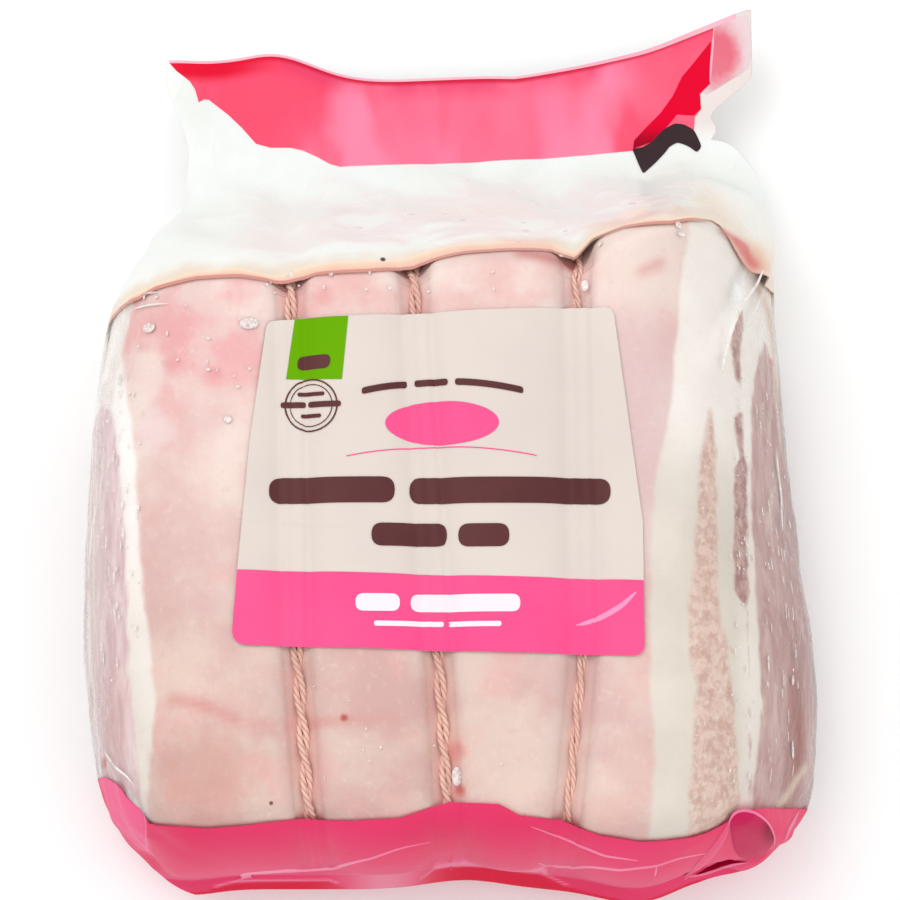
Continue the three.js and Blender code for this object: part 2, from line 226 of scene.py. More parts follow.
def bag_plain(row, turn):
    zone, t = split_row(row)
    across, level, side = around_square(turn)
    ones = np.ones_like(t)
    left = left_half(np.where(zone == 4, lerp(NECK, collar_edge(-LEFT_TIP_X), t),
                              station_width_y(zone, t, -LEFT_HALF * ones)))
    right = right_half(np.where(zone == 4, lerp(NECK, collar_edge(EAR_TIP_X), t),
                                station_width_y(zone, t, RIGHT_HALF * ones)))
    swell = np.sin(t * math.pi / 2) ** FOOT_POWER
    fall = (1 + np.cos(math.pi * t ** SLOPE_POWER)) / 2
    sheet = SHEET_HALF * ones
    rise = np.choose(zone, [sheet, lerp(SHEET_HALF, FACE_RISE, swell), FACE_RISE * ones,
                            lerp(SHEET_HALF, FACE_RISE, fall), sheet])
    drop = np.choose(zone, [sheet, lerp(SHEET_HALF, BACK_DROP, swell), BACK_DROP * ones,
                            lerp(SHEET_HALF, BACK_DROP, np.sqrt(1 - t ** 3)), sheet])
    x, height = section(left, right, rise, drop, across, level, side)
    seam = np.choose(zone, [lerp(FLAP_HEIGHT, SEAM_HEIGHT, t), SEAM_HEIGHT * ones, SEAM_HEIGHT * ones,
                            lerp(SEAM_HEIGHT, NECK_HEIGHT, t), collar_height(x, t)])
    return np.stack([x, station_y(zone, t, x), seam + height], axis=-1)


def segment_distance(p, start, end):
    start, end = np.array(start, float), np.array(end, float)
    way = end - start
    t = np.clip(((p - start) @ way) / (way @ way), 0, 1)
    return np.linalg.norm(p - (start + t[..., None] * way), axis=-1)


def tightness(p):
    return 1 - ease(p[..., 1] - head_at(p[..., 0]), *TIGHT_FADE)


def tied_relief(p, depth, spread):
    """Swellings and grooves of the tied meat."""
    x, y, z = p[..., 0], p[..., 1], p[..., 2]
    swollen = ease(np.abs(z - SEAM_HEIGHT), *SEAM_FADE)
    groove = pinch = 0
    for loop in LOOPS:
        off = x - loop_x(loop, y)
        groove = groove + bell(off, 0, spread)
        pinch = pinch + bell(off, 0, BULGE_SPREAD)
    flank = 1 - ease(np.abs(x), *FLANK_FADE)
    height, across, phase, length = MEAT_WAVE
    roll = height * np.sin(x / across + phase) * np.cos(y / length)
    return (BULGE * flank * (1 - pinch) - depth * groove + roll) * swollen


def film_relief(p):
    x, y, z = p[..., 0], p[..., 1], p[..., 2]
    tight = tightness(p)
    swollen = ease(np.abs(z - SEAM_HEIGHT), *SEAM_FADE)
    ridge = 0
    for loop in LOOPS:
        off = np.abs(x - loop_x(loop, y))
        ridge = ridge + ease(TWINE_FOOT - off, 0, TWINE_FOOT - TWINE_FLAT)
    slack = ease(y - head_at(x), *SLACK_START) * (1 - ease(y, *SLACK_STOP))
    height, across, length, cross, drift = CRUMPLE
    crumple = height * slack * np.sin(x / across + y / length) * np.cos(y / cross - x / drift)
    folds = sum(h * bell(segment_distance(p, a, b), 0, spread) for a, b, h, spread in FOLDS)
    tied = tied_relief(p, GROOVE_DEPTH, GROOVE_SPREAD) + TWINE_RISE * ridge * swollen
    return tied * tight + crumple + folds * ease(z, *FOLD_FADE)


def crinkle(p, scale, seed):
    """Sharp small ridges, about -1 to 1, as creased film has them."""
    q = p / scale + seed
    flat = q.reshape(-1, 3)
    values = [1 - 2 * abs(noise.noise(v)) * 1.6 for v in flat.tolist()]
    return np.array(values).reshape(p.shape[:-1])


def creases(p):
    """Fine creases of the film itself: strong on the slack slope, light on the flanks and collar."""
    x, y, z = p[..., 0], p[..., 1], p[..., 2]
    past = y - head_at(x)
    slope = ease(past, 5, 14) * (1 - ease(y, 74, 84))
    collar = ease(y, 80, 88)
    flank = ease(np.abs(x), 66, 88) * (1 - ease(z, 62, 76)) * (1 - ease(past, 0, 10))
    stretched = p * np.array([1.0, 0.55, 0.8])
    fine = crinkle(stretched, 7.0, 3.1)
    broad = crinkle(stretched, 15.0, 8.7)
    return slope * (0.16 * fine + 0.45 * broad) + collar * 0.2 * broad + flank * (0.22 * fine + 0.35 * broad)


STEP = 0.004  # how far apart the normals of the plain form are read


def bag_surface(row, turn, out=0.0):
    """Points of the film, or of what lies on it at a height of out."""
    row, turn = np.broadcast_arrays(np.asarray(row, float), np.asarray(turn, float))
    p = bag_plain(row, turn)
    onward = bag_plain(np.minimum(row + STEP, 5), turn) - bag_plain(np.maximum(row - STEP, 0), turn)
    beside = bag_plain(row, turn + STEP) - bag_plain(row, turn - STEP)
    normal = np.cross(beside, onward)
    normal /= np.linalg.norm(normal, axis=-1, keepdims=True) + 1e-12
    moved = p + normal * (film_relief(p) + creases(p) + out)[..., None]
    moved[..., 2] = np.maximum(moved[..., 2], min(0, out))
    return moved


def past_rind(p):
    """How far a point lies past the rind's head edge, in plan."""
    return p[..., 1] - along(RIND_TOP, p[..., 0])


def meat_plain(row, turn):
    """The roast's own form: rows 1 to 3 as the bag's foot and face, and 3 to 4 its head end."""
    t = np.clip(row - 3, 0, 1)
    p = bag_plain(np.where(row > 3, 3 + HEAD_SHARE * t, np.clip(row, 1, 3)), turn)
    shrink = (1 - t ** HEAD_ROUND) ** (1 / HEAD_ROUND)
    p[..., 2] = SEAM_HEIGHT + (p[..., 2] - SEAM_HEIGHT) * shrink
    p[..., 0] *= lerp(0.85, 1.0, shrink)
    return p


def meat_surface(row, turn, out=0.0):
    row, turn = np.broadcast_arrays(np.asarray(row, float), np.asarray(turn, float))
    p = meat_plain(row, turn)
    onward = meat_plain(np.minimum(row + STEP, 4), turn) - meat_plain(np.maximum(row - STEP, 1), turn)
    beside = meat_plain(row, turn + STEP) - meat_plain(row, turn - STEP)
    normal = np.cross(beside, onward)
    normal /= np.linalg.norm(normal, axis=-1, keepdims=True) + 1e-12
    past = past_rind(centred(p))
    onto_head = ease(past, 0, 16)
    step = RIND_STEP * ease(past, -0.2, 0.8) * ease(p[..., 2], 40, 55) * (1 - 0.6 * onto_head)
    tied = tied_relief(p, MEAT_GROOVE, MEAT_GROOVE_SPREAD) * (1 - 0.5 * onto_head)
    dents = sum(h * bell(segment_distance(p, a, b), 0, spread) for a, b, h, spread in FOLDS if h < 0)
    moved = p + normal * (tied + dents * ease(p[..., 2], *FOLD_FADE) - step - MEAT_INSET - HEAD_INSET * onto_head + out)[..., None]
    moved[..., 2] = np.maximum(moved[..., 2], MEAT_INSET)
    return moved


def even_turns(surface, row, start, end, count):
    """Turns from start to end whose points on the surface at a row are evenly spaced."""
    fine = np.linspace(start, end, 1200)
    points = surface(np.full_like(fine, row), fine)
    length = np.concatenate([[0], np.cumsum(np.linalg.norm(np.diff(points, axis=0), axis=1))])
    return np.interp(np.linspace(0, length[-1], count + 1), length, fine)


# Meshes

def grid_faces(rows, columns, closed):
    """Quads of a grid of rows by columns, joined back to the first column when closed."""
    r = np.arange(rows - 1)[:, None]
    c = np.arange(columns if closed else columns - 1)[None, :]
    nxt = (c + 1) % columns
    quads = np.stack([r * columns + c, r * columns + nxt, (r + 1) * columns + nxt, (r + 1) * columns + c], -1)
    return quads.reshape(-1, 4).tolist()


def zip_faces(front, back, front_x, back_x):
    """Triangles between two lines of points that run the same way along x."""
    i = j = 0
    faces = []
    while i < len(front) - 1 or j < len(back) - 1:
        step_front = j == len(back) - 1 or (i < len(front) - 1 and front_x[i + 1] <= back_x[j + 1])
        if step_front:
            faces.append((front[i], front[i + 1], back[j]))
            i += 1
        else:
            faces.append((front[i], back[j + 1], back[j]))
            j += 1
    return [f for f in faces if len(set(f)) == 3]


def make_piece(name, points, faces, material, node=None, smooth=True):
    """A piece from points in millimetres, riding on the one body."""
    mesh = bpy.data.meshes.new(name)
    mesh.from_pydata((np.asarray(points).reshape(-1, 3) * MM).tolist(), [], faces)
    mesh.shade_smooth() if smooth else mesh.shade_flat()
    mesh.materials.append(material)
    piece = bpy.data.objects.new(name, mesh)
    bpy.context.scene.collection.objects.link(piece)
    finish_piece(piece, node)
    return piece


def finish_piece(piece, node=None):
    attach(piece, "root")
    if node:
        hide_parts(node)


def merge_points(piece):
    """Joins points that lie on one another, and drops the faces that vanish with them."""
    work = bmesh.new()
    work.from_mesh(piece.data)
    bmesh.ops.remove_doubles(work, verts=work.verts, dist=1e-6)
    work.to_mesh(piece.data)
    work.free()


def store(piece, name, values):
    layer = piece.data.attributes.new(name, "FLOAT", "POINT")
    layer.data.foreach_set("value", np.asarray(values, dtype=np.float32).ravel())


def closed_loft(points, turns, front_count):
    """Faces of a loft whose columns go round, with both ends shut by a strip from front to back."""
    rows, columns = points.shape[:2]
    faces = grid_faces(rows, columns, True)
    for row, flip in ((0, False), (rows - 1, True)):
        start = row * columns
        front = [start + i for i in range(front_count + 1)]
        back = [start] + [start + i for i in range(columns - 1, front_count - 1, -1)]
        ring = points[row]
        strip = zip_faces(front, back, ring[[i - start for i in front], 0], ring[[i - start for i in back], 0])
        faces += [tuple(reversed(f)) for f in strip] if not flip else strip
    return faces


# Materials

def tone(red, green, blue):
    """A linear colour from the 0 to 255 values seen on screen."""
    def linear(v):
        v /= 255
        return v / 12.92 if v <= 0.04045 else ((v + 0.055) / 1.055) ** 2.4
    return (linear(red), linear(green), linear(blue), 1.0)


class Nodes:
    """A node tree with short calls for the nodes the finishes are made of."""

    def __init__(self, tree):
        self.tree = tree

    def add(self, kind, inputs=None, **settings):
        node = self.tree.nodes.new(kind)
        for key, value in settings.items():
            setattr(node, key, value)
        for key, value in (inputs or {}).items():
            if isinstance(value, bpy.types.NodeSocket):
                self.tree.links.new(value, node.inputs[key])
            else:
                node.inputs[key].default_value = value
        return node

    def math(self, operation, a, b=0.0, c=0.0, clamp=False):
        node = self.add("ShaderNodeMath", {0: a, 1: b, 2: c}, operation=operation, use_clamp=clamp)
        return node.outputs[0]

    def step(self, value, low, high, to_low=0.0, to_high=1.0):
        """A smooth step of a value from low to high."""
        node = self.add("ShaderNodeMapRange", {"Value": value, "From Min": low, "From Max": high,
                                               "To Min": to_low, "To Max": to_high},
                        interpolation_type="SMOOTHSTEP")
        return node.outputs[0]

    def mix(self, factor, a, b, blend="MIX"):
        node = self.add("ShaderNodeMix", data_type="RGBA", blend_type=blend)
        for index, value in ((0, factor), (6, a), (7, b)):
            if isinstance(value, bpy.types.NodeSocket):
                self.tree.links.new(value, node.inputs[index])
            else:
                node.inputs[index].default_value = value
        return node.outputs[2]

    def attribute(self, name):
        return self.add("ShaderNodeAttribute", attribute_name=name).outputs["Fac"]

    def place(self, scale=(1, 1, 1)):
        where = self.add("ShaderNodeTexCoord").outputs["Object"]
        return self.add("ShaderNodeMapping", {"Vector": where, "Scale": scale}).outputs[0]

    def noise(self, scale, detail=3.0, vector=None, roughness=0.5, distortion=0.0):
        node = self.add("ShaderNodeTexNoise", {"Scale": scale, "Detail": detail, "Roughness": roughness,
                                               "Distortion": distortion})
        self.tree.links.new(vector or self.place(), node.inputs["Vector"])
        return node.outputs["Fac"]

    def bump(self, height, strength, distance, normal=None):
        inputs = {"Height": height, "Strength": strength, "Distance": distance}
        if normal:
            inputs["Normal"] = normal
        return self.add("ShaderNodeBump", inputs).outputs[0]


def new_finish(name):
    finish = bpy.data.materials.new(name)
    finish.use_nodes = True
    finish.node_tree.nodes.clear()
    return finish, Nodes(finish.node_tree)


def show(nodes, shader):
    nodes.add("ShaderNodeOutputMaterial", {"Surface": shader})


def make_group(name, inputs, build):
    """A node group with float inputs; build(nodes, sockets) gives its outputs by name."""
    tree = bpy.data.node_groups.new(name, "ShaderNodeTree")
    for label, value in inputs.items():
        socket = tree.interface.new_socket(label, in_out="INPUT", socket_type="NodeSocketFloat")
        socket.default_value = value
    nodes = Nodes(tree)
    outputs = build(nodes, nodes.add("NodeGroupInput").outputs)
    for label in outputs:
        tree.interface.new_socket(label, in_out="OUTPUT", socket_type="NodeSocketFloat")
    end = nodes.add("NodeGroupOutput")
    for label, socket in outputs.items():
        tree.links.new(socket, end.inputs[label])
    return tree


def use_group(nodes, tree, **values):
    return nodes.add("ShaderNodeGroup", {k.replace("_", " "): v for k, v in values.items()}, node_tree=tree).outputs


def film_crease_group():
    """Height of fine creases and of the faint grain of shrunk film."""
    def build(nodes, given):
        broad = nodes.noise(given["Crease Scale"], 1.0, distortion=1.2)
        fold = nodes.math("ABSOLUTE", nodes.math("SUBTRACT", broad, 0.5))
        ridge = nodes.math("SUBTRACT", 1.0, nodes.math("MULTIPLY", fold, 5.0), clamp=True)
        grain = nodes.noise(given["Grain Scale"], 0.0)
        return {"Height": nodes.math("MULTIPLY_ADD", grain, given["Grain"], nodes.math("POWER", ridge, 3.0)),
                "Ridge": ridge}
    return make_group("Film creases", {"Crease Scale": 45.0, "Grain Scale": 900.0, "Grain": 0.1}, build)


def round_spot_group():
    """A soft round spot about a place in plan, in metres."""
    def build(nodes, given):
        where = nodes.add("ShaderNodeSeparateXYZ", {0: nodes.place()}).outputs
        dx = nodes.math("SUBTRACT", where["X"], given["Centre X"])
        dy = nodes.math("SUBTRACT", where["Y"], given["Centre Y"])
        far = nodes.math("SQRT", nodes.math("ADD", nodes.math("MULTIPLY", dx, dx), nodes.math("MULTIPLY", dy, dy)))
        reach = nodes.math("MULTIPLY", given["Radius"], nodes.math("ADD", given["Wobble"], 0.5))
        core = nodes.math("MULTIPLY", reach, given["Core"])
        node = nodes.add("ShaderNodeMapRange", {"Value": far, "From Min": core, "From Max": reach,
                                                "To Min": 1.0, "To Max": 0.0}, interpolation_type="SMOOTHSTEP")
        return {"Mask": node.outputs[0]}
    return make_group("Round spot", {"Centre X": 0.0, "Centre Y": 0.0, "Radius": 0.003, "Core": 0.3,
                                     "Wobble": 0.5}, build)


def meat_grain_group():
    """Soft mottling of skin and fat, and the fibres of cut muscle."""
    def build(nodes, given):
        mottle = nodes.noise(given["Mottle Scale"], 4.0, roughness=0.6)
        fibre_place = nodes.add("ShaderNodeMapping", {"Vector": nodes.place(), "Scale": (1.0, 0.22, 1.0)}).outputs[0]
        fibre = nodes.noise(given["Fibre Scale"], 4.0, fibre_place, roughness=0.65, distortion=0.6)
        fine = nodes.noise(given["Fine Scale"], 3.0)
        return {"Mottle": mottle, "Fibre": fibre, "Fine": fine}
    return make_group("Meat grain", {"Mottle Scale": 60.0, "Fibre Scale": 260.0, "Fine Scale": 1100.0}, build)


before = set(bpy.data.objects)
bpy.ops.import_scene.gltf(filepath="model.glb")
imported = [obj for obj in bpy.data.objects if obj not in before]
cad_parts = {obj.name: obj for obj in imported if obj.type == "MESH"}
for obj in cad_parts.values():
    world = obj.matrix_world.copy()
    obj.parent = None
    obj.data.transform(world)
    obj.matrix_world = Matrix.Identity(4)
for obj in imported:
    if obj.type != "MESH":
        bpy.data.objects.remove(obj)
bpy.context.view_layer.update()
bag_low, bag_high = [np.array(v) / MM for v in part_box("sealed_bag")]

film_creases = film_crease_group()
round_spot = round_spot_group()
meat_grain = meat_grain_group()

# Where the layers of the cut flanks meet in plan, as (y, x) lines in millimetres
RIND_RIGHT = ((-107.6, 49.4), (-89.5, 50.6), (-59.7, 49.7), (-39.6, 49.9), (-19.1, 51.5), (1.8, 56.2),
              (28.0, 58.6), (48.2, 61.6))
RIND_LEFT = ((-103.4, -75.9), (-74.1, -73.5), (-38.6, -78.1), (-10.2, -80.0), (15.0, -84.6), (22.0, -83.6), (28.0, -82.2))
GRAINY_IN = ((-98.5, 59.4), (-71.9, 61.4), (-59.4, 59.3), (-47.8, 60.0), (-39.0, 61.5), (-23.5, 62.6),
             (-10.3, 63.9), (0.4, 66.0), (5.0, 68.0))
GRAINY_OUT = ((-98.5, 72.6), (-71.3, 70.9), (-58.7, 69.5), (-47.2, 67.4), (-38.5, 67.3), (-22.9, 67.7),
              (-9.7, 68.0), (0.4, 67.4), (5.0, 65.0))
LEAN_STRIP_IN = ((-51.0, 75.6), (-48.9, 74.6), (-45.6, 72.1), (-27.3, 72.6), (-12.6, 73.1), (-9.5, 74.6),
                 (1.1, 73.4), (3.5, 76.5), (9.0, 76.0), (9.9, 74.4), (14.4, 73.6), (19.9, 72.9), (23.9, 73.4),
                 (30.1, 76.4), (34.0, 79.0))
LEAN_STRIP_OUT = ((-51.0, 75.6), (-48.9, 75.0), (-45.0, 76.3), (-26.4, 76.4), (-11.6, 76.9), (-6.5, 75.9),
                  (1.8, 76.1), (3.5, 75.5), (9.0, 74.6), (12.2, 75.4), (17.8, 76.0), (23.6, 76.0), (25.2, 76.7),
                  (30.1, 76.6), (34.0, 76.0))
MUSCLE_RIGHT = ((-95.7, 76.7), (-72.8, 79.1), (-47.2, 78.3), (-20.8, 77.8), (-4.2, 78.8), (6.9, 79.2), (14.0, 80.1),
                (25.4, 83.8), (28.0, 96.0), (44.0, 100.0))
MUSCLE_TOP = ((6.0, 104.0), (11.2, 88.6), (18.7, 87.6), (25.4, 84.2), (28.0, 80.0))
MUSCLE_LEFT = ((-96.1, -77.4), (-73.6, -80.3), (-38.1, -82.2), (-9.3, -84.8), (2.0, -87.5), (9.0, -96.0))


SCAR = (  # a faint scar across the rind: x, y, and how strong it is from there on
    (-69.0, -74.0, 0.7), (-63.0, -75.3, 0.8), (-58.8, -76.8, 0.7), (-53.0, -79.5, 0.4), (-44.0, -81.2, 0.35),
    (-37.0, -81.0, 0.75), (-30.5, -79.9, 0.6), (-25.0, -79.6, 0.3), (-14.0, -79.6, 0.0))

# The film

FRONT_COLUMNS, BACK_COLUMNS = 250, 64
FILM_ROWS = (8, 56, 110, 74, 50)  # rows of the flap, foot, face, slope and collar


def centred(points):
    """Moves points from the form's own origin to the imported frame's."""
    return points + SHIFT


film_turns = np.concatenate([even_turns(bag_plain, 2.5, 0, 3, FRONT_COLUMNS)[:-1],
                             even_turns(bag_plain, 2.5, 3, 6, BACK_COLUMNS)[:-1]])
film_rows = np.concatenate([np.linspace(z, z + 1, n, endpoint=False) for z, n in enumerate(FILM_ROWS)] + [[5.0]])
film_grid = bag_surface(film_rows[:, None], film_turns[None, :])
grid_low, grid_high = film_grid.min(axis=(0, 1)), film_grid.max(axis=(0, 1))
SHIFT = np.array([*((bag_low + bag_high) / 2 - (grid_low + grid_high) / 2)[:2], 0.0])
film_grid = centred(film_grid)
film_faces = closed_loft(film_grid, film_turns, FRONT_COLUMNS)


def film_finish():
    """Clear shrunk film: gloss at a slant, milky where it is slack, tinted where juice lies under it."""
    finish, nodes = new_finish("Clear shrunk film")
    past, haze = nodes.attribute("past"), nodes.attribute("haze")
    blood, warm = nodes.attribute("blood"), nodes.attribute("warm")
    crease = use_group(nodes, film_creases, Crease_Scale=70.0, Grain_Scale=500.0, Grain=0.12)
    cloud = nodes.noise(38.0, 4.0, roughness=0.55)
    ragged = nodes.math("MULTIPLY", nodes.math("SUBTRACT", nodes.noise(110.0, 3.0), 0.5), 9.0)
    edge = nodes.math("ADD", past, ragged)
    across_tan = nodes.math("DIVIDE", nodes.math("MULTIPLY_ADD", ragged, 0.25, past), nodes.attribute("tan_span"))
    # painted shadow: a thin pink-brown line on the film along the rind's head edge, for the shaded gap under the film
    rim_shadow_line = nodes.math("MULTIPLY", nodes.step(past, -0.75, -0.3), nodes.step(past, 0.2, 0.6, 1.0, 0.0))
    rim_shadow_line = nodes.math("MULTIPLY", rim_shadow_line, nodes.attribute("rim_shadow_line"))
    milky = nodes.math("MULTIPLY", nodes.step(across_tan, 0.3, 0.8), nodes.step(cloud, 0.2, 0.6, 0.965, 0.995))
    streak = nodes.step(nodes.noise(150.0, 3.0, nodes.place((1.0, 0.3, 0.3)), distortion=0.8), 0.5, 0.75)
    veil = nodes.math("MULTIPLY", haze, nodes.math("MULTIPLY_ADD", streak, 0.9, 0.55))
    cover = nodes.math("ADD", milky, veil, clamp=True)
    tan_band = nodes.math("MULTIPLY", nodes.step(past, -0.1, 0.4), nodes.step(across_tan, 0.75, 1.15, 1.0, 0.0))
    juice = nodes.math("MULTIPLY", nodes.math("MULTIPLY", tan_band, nodes.attribute("juicy")), 0.93)
    white = nodes.mix(nodes.step(cloud, 0.35, 0.7), tone(226, 228, 224), tone(231, 234, 232))
    white = nodes.mix(nodes.attribute("open_side"), white, tone(222, 210, 206))
    # painted light: the film at the left corner and flank is whitened against its shade
    white = nodes.mix(nodes.attribute("painted_light_left"), white, tone(250, 246, 243))
    near = nodes.math("DIVIDE", edge, nodes.attribute("cream_span"))
    near = nodes.math("MULTIPLY", nodes.step(near, 1.5, 8.0, 1.0, 0.0), nodes.step(past, -3.0, -1.0))
    cream_near = nodes.mix(near, white, tone(222, 206, 188))
    warmed = nodes.mix(nodes.math("MULTIPLY", warm, nodes.step(cloud, 0.4, 0.62)), cream_near, tone(225, 225, 218))
    warmed = nodes.mix(nodes.attribute("orange"), warmed, tone(222, 186, 162))
    tan_tone = nodes.mix(nodes.step(across_tan, 0.1, 0.8), tone(236, 188, 166), tone(240, 210, 184))
    tan = nodes.mix(nodes.math("MULTIPLY", tan_band, 0.9), warmed, tan_tone)
    rimmed = nodes.mix(rim_shadow_line, tan, tone(212, 142, 131))
    fleck = use_group(nodes, round_spot, Centre_X=-0.0171, Centre_Y=0.0382, Radius=0.0009, Core=0.5)
    specked = nodes.mix(fleck["Mask"], rimmed, tone(58, 46, 44))
    tint = nodes.mix(blood, specked, tone(202, 108, 102))
    normal = nodes.bump(nodes.math("MULTIPLY", crease["Height"], nodes.attribute("rough")), 0.35, 0.0006)
    skin = nodes.add("ShaderNodeBsdfPrincipled", {"Base Color": tint, "Roughness": 0.3, "IOR": 1.45,
                                                  "Specular IOR Level": 0.35, "Normal": normal})
    clear = nodes.add("ShaderNodeBsdfTransparent", {"Color": (1, 1, 1, 1)})
    mirrored = nodes.add("ShaderNodeFresnel", {"IOR": 1.3, "Normal": normal}).outputs[0]
    rim = nodes.math("MULTIPLY_ADD", mirrored, 0.8, -0.016, clamp=True)
    factor = nodes.math("MAXIMUM", nodes.math("MAXIMUM", cover, rim),
                        nodes.math("MAXIMUM", juice, nodes.math("MULTIPLY", blood, 0.8)))
    factor = nodes.math("MAXIMUM", factor, nodes.math("MULTIPLY", rim_shadow_line, 0.9))
    both = nodes.add("ShaderNodeMixShader", {0: factor, 1: clear.outputs[0], 2: skin.outputs[0]})
    show(nodes, both.outputs[0])
    return finish


def film_masks(p):
    """How far past the rind, how slack, milky, creased, warm and bloody the film is at each point, and where painted
    shade and light lie on it.
    """
    x, y, z = p[..., 0], p[..., 1], p[..., 2]
    past = past_rind(p)
    plan = p * (1, 1, 0)
    front = z > 24
    pocket = bell(segment_distance(plan, (77.6, 41.3, 0), (74.3, 31.5, 0)), 0, 1.8) * front
    corner = bell(segment_distance(plan, (-84.5, 29.0, 0), (-89.5, 12.0, 0)), 0, 2.4) * front
    shoulder = bell(segment_distance(p, (81, 62, 42), (84, 50, 36)), 0, 6.0)
    left = bell(x, -92, 6) * ease(y, -85, -50) * (1 - ease(y, 5, 30))
    right = bell(x, 92, 6) * ease(y, -90, -60) * (1 - ease(y, 30, 50))
    facet = bell(segment_distance(p, (-83, -92, 58), (-77, -101, 65)), 0, 2.0)
    purge = (0.8 * bell(segment_distance(plan, (71.1, 49.5, 0), (77.1, 47.6, 0)), 0, 1.3)
             + bell(segment_distance(plan, (77.1, 47.0, 0), (79.8, 43.4, 0)), 0, 2.6)) * front
    flank = ease(np.abs(x), 70, 88) * (1 - ease(z, 60, 74))
    return {
        "past": past,
        "juicy": ease(z, 16, 44),
        "tan_span": 1.3 + 1.1 * bell(x, -58, 9) + 2.2 * ease(x, -48, -36) * (1 - ease(x, 22, 40)),
        # where the painted shadow line along the rind's head edge shows
        "rim_shadow_line": (1 - 0.5 * bell(x, 36, 8)) * (1 - ease(x, 62, 70)) * ease(z, 30, 48),
        "haze": np.clip(0.85 * pocket + 0.7 * corner + 0.6 * shoulder + 0.35 * left + 0.16 * right + 0.5 * facet - 0.004, 0, 0.95),
        "rough": np.clip(0.12 + 0.6 * flank + 0.25 * ease(past, 0, 10), 0, 1),
        "warm": 0.7 * ease(past, 2, 10) * (1 - ease(past, 24, 40)),
        "cream_span": 1 + 2.4 * ease(x, 55, 72),
        "orange": 0.7 * bell(segment_distance(plan, (81.7, 48.3, 0), (82.6, 43.5, 0)), 0, 2.6) * front,
        "open_side": ease(x, 62, 68) * ease(y, 84, 92),
        # painted light on the film at the left corner and flank
        "painted_light_left": np.clip(corner + left, 0, 1),
        "blood": np.clip(purge, 0, 1),
    }


film = make_piece("bag_film", film_grid, film_faces, film_finish(), node="sealed_bag")
for mask, values in film_masks(film_grid).items():
    store(film, mask, values)


# The roast

meat_turns = np.concatenate([even_turns(bag_plain, 2.5, 0, 3, 230)[:-1],
                             even_turns(bag_plain, 2.5, 3, 6, 60)[:-1]])
meat_rows = np.concatenate([np.linspace(1.06, 2, 50, endpoint=False), np.linspace(2, 2.94, 92, endpoint=False),
                            np.linspace(2.94, 3.2, 54, endpoint=False), np.linspace(3.2, 3.9, 26, endpoint=False),
                            3.9 + 0.1 * np.sin(np.linspace(0, 0.99, 12) * math.pi / 2)])
meat_grid = centred(meat_surface(meat_rows[:, None], meat_turns[None, :]))
meat_faces = closed_loft(meat_grid, meat_turns, 230)


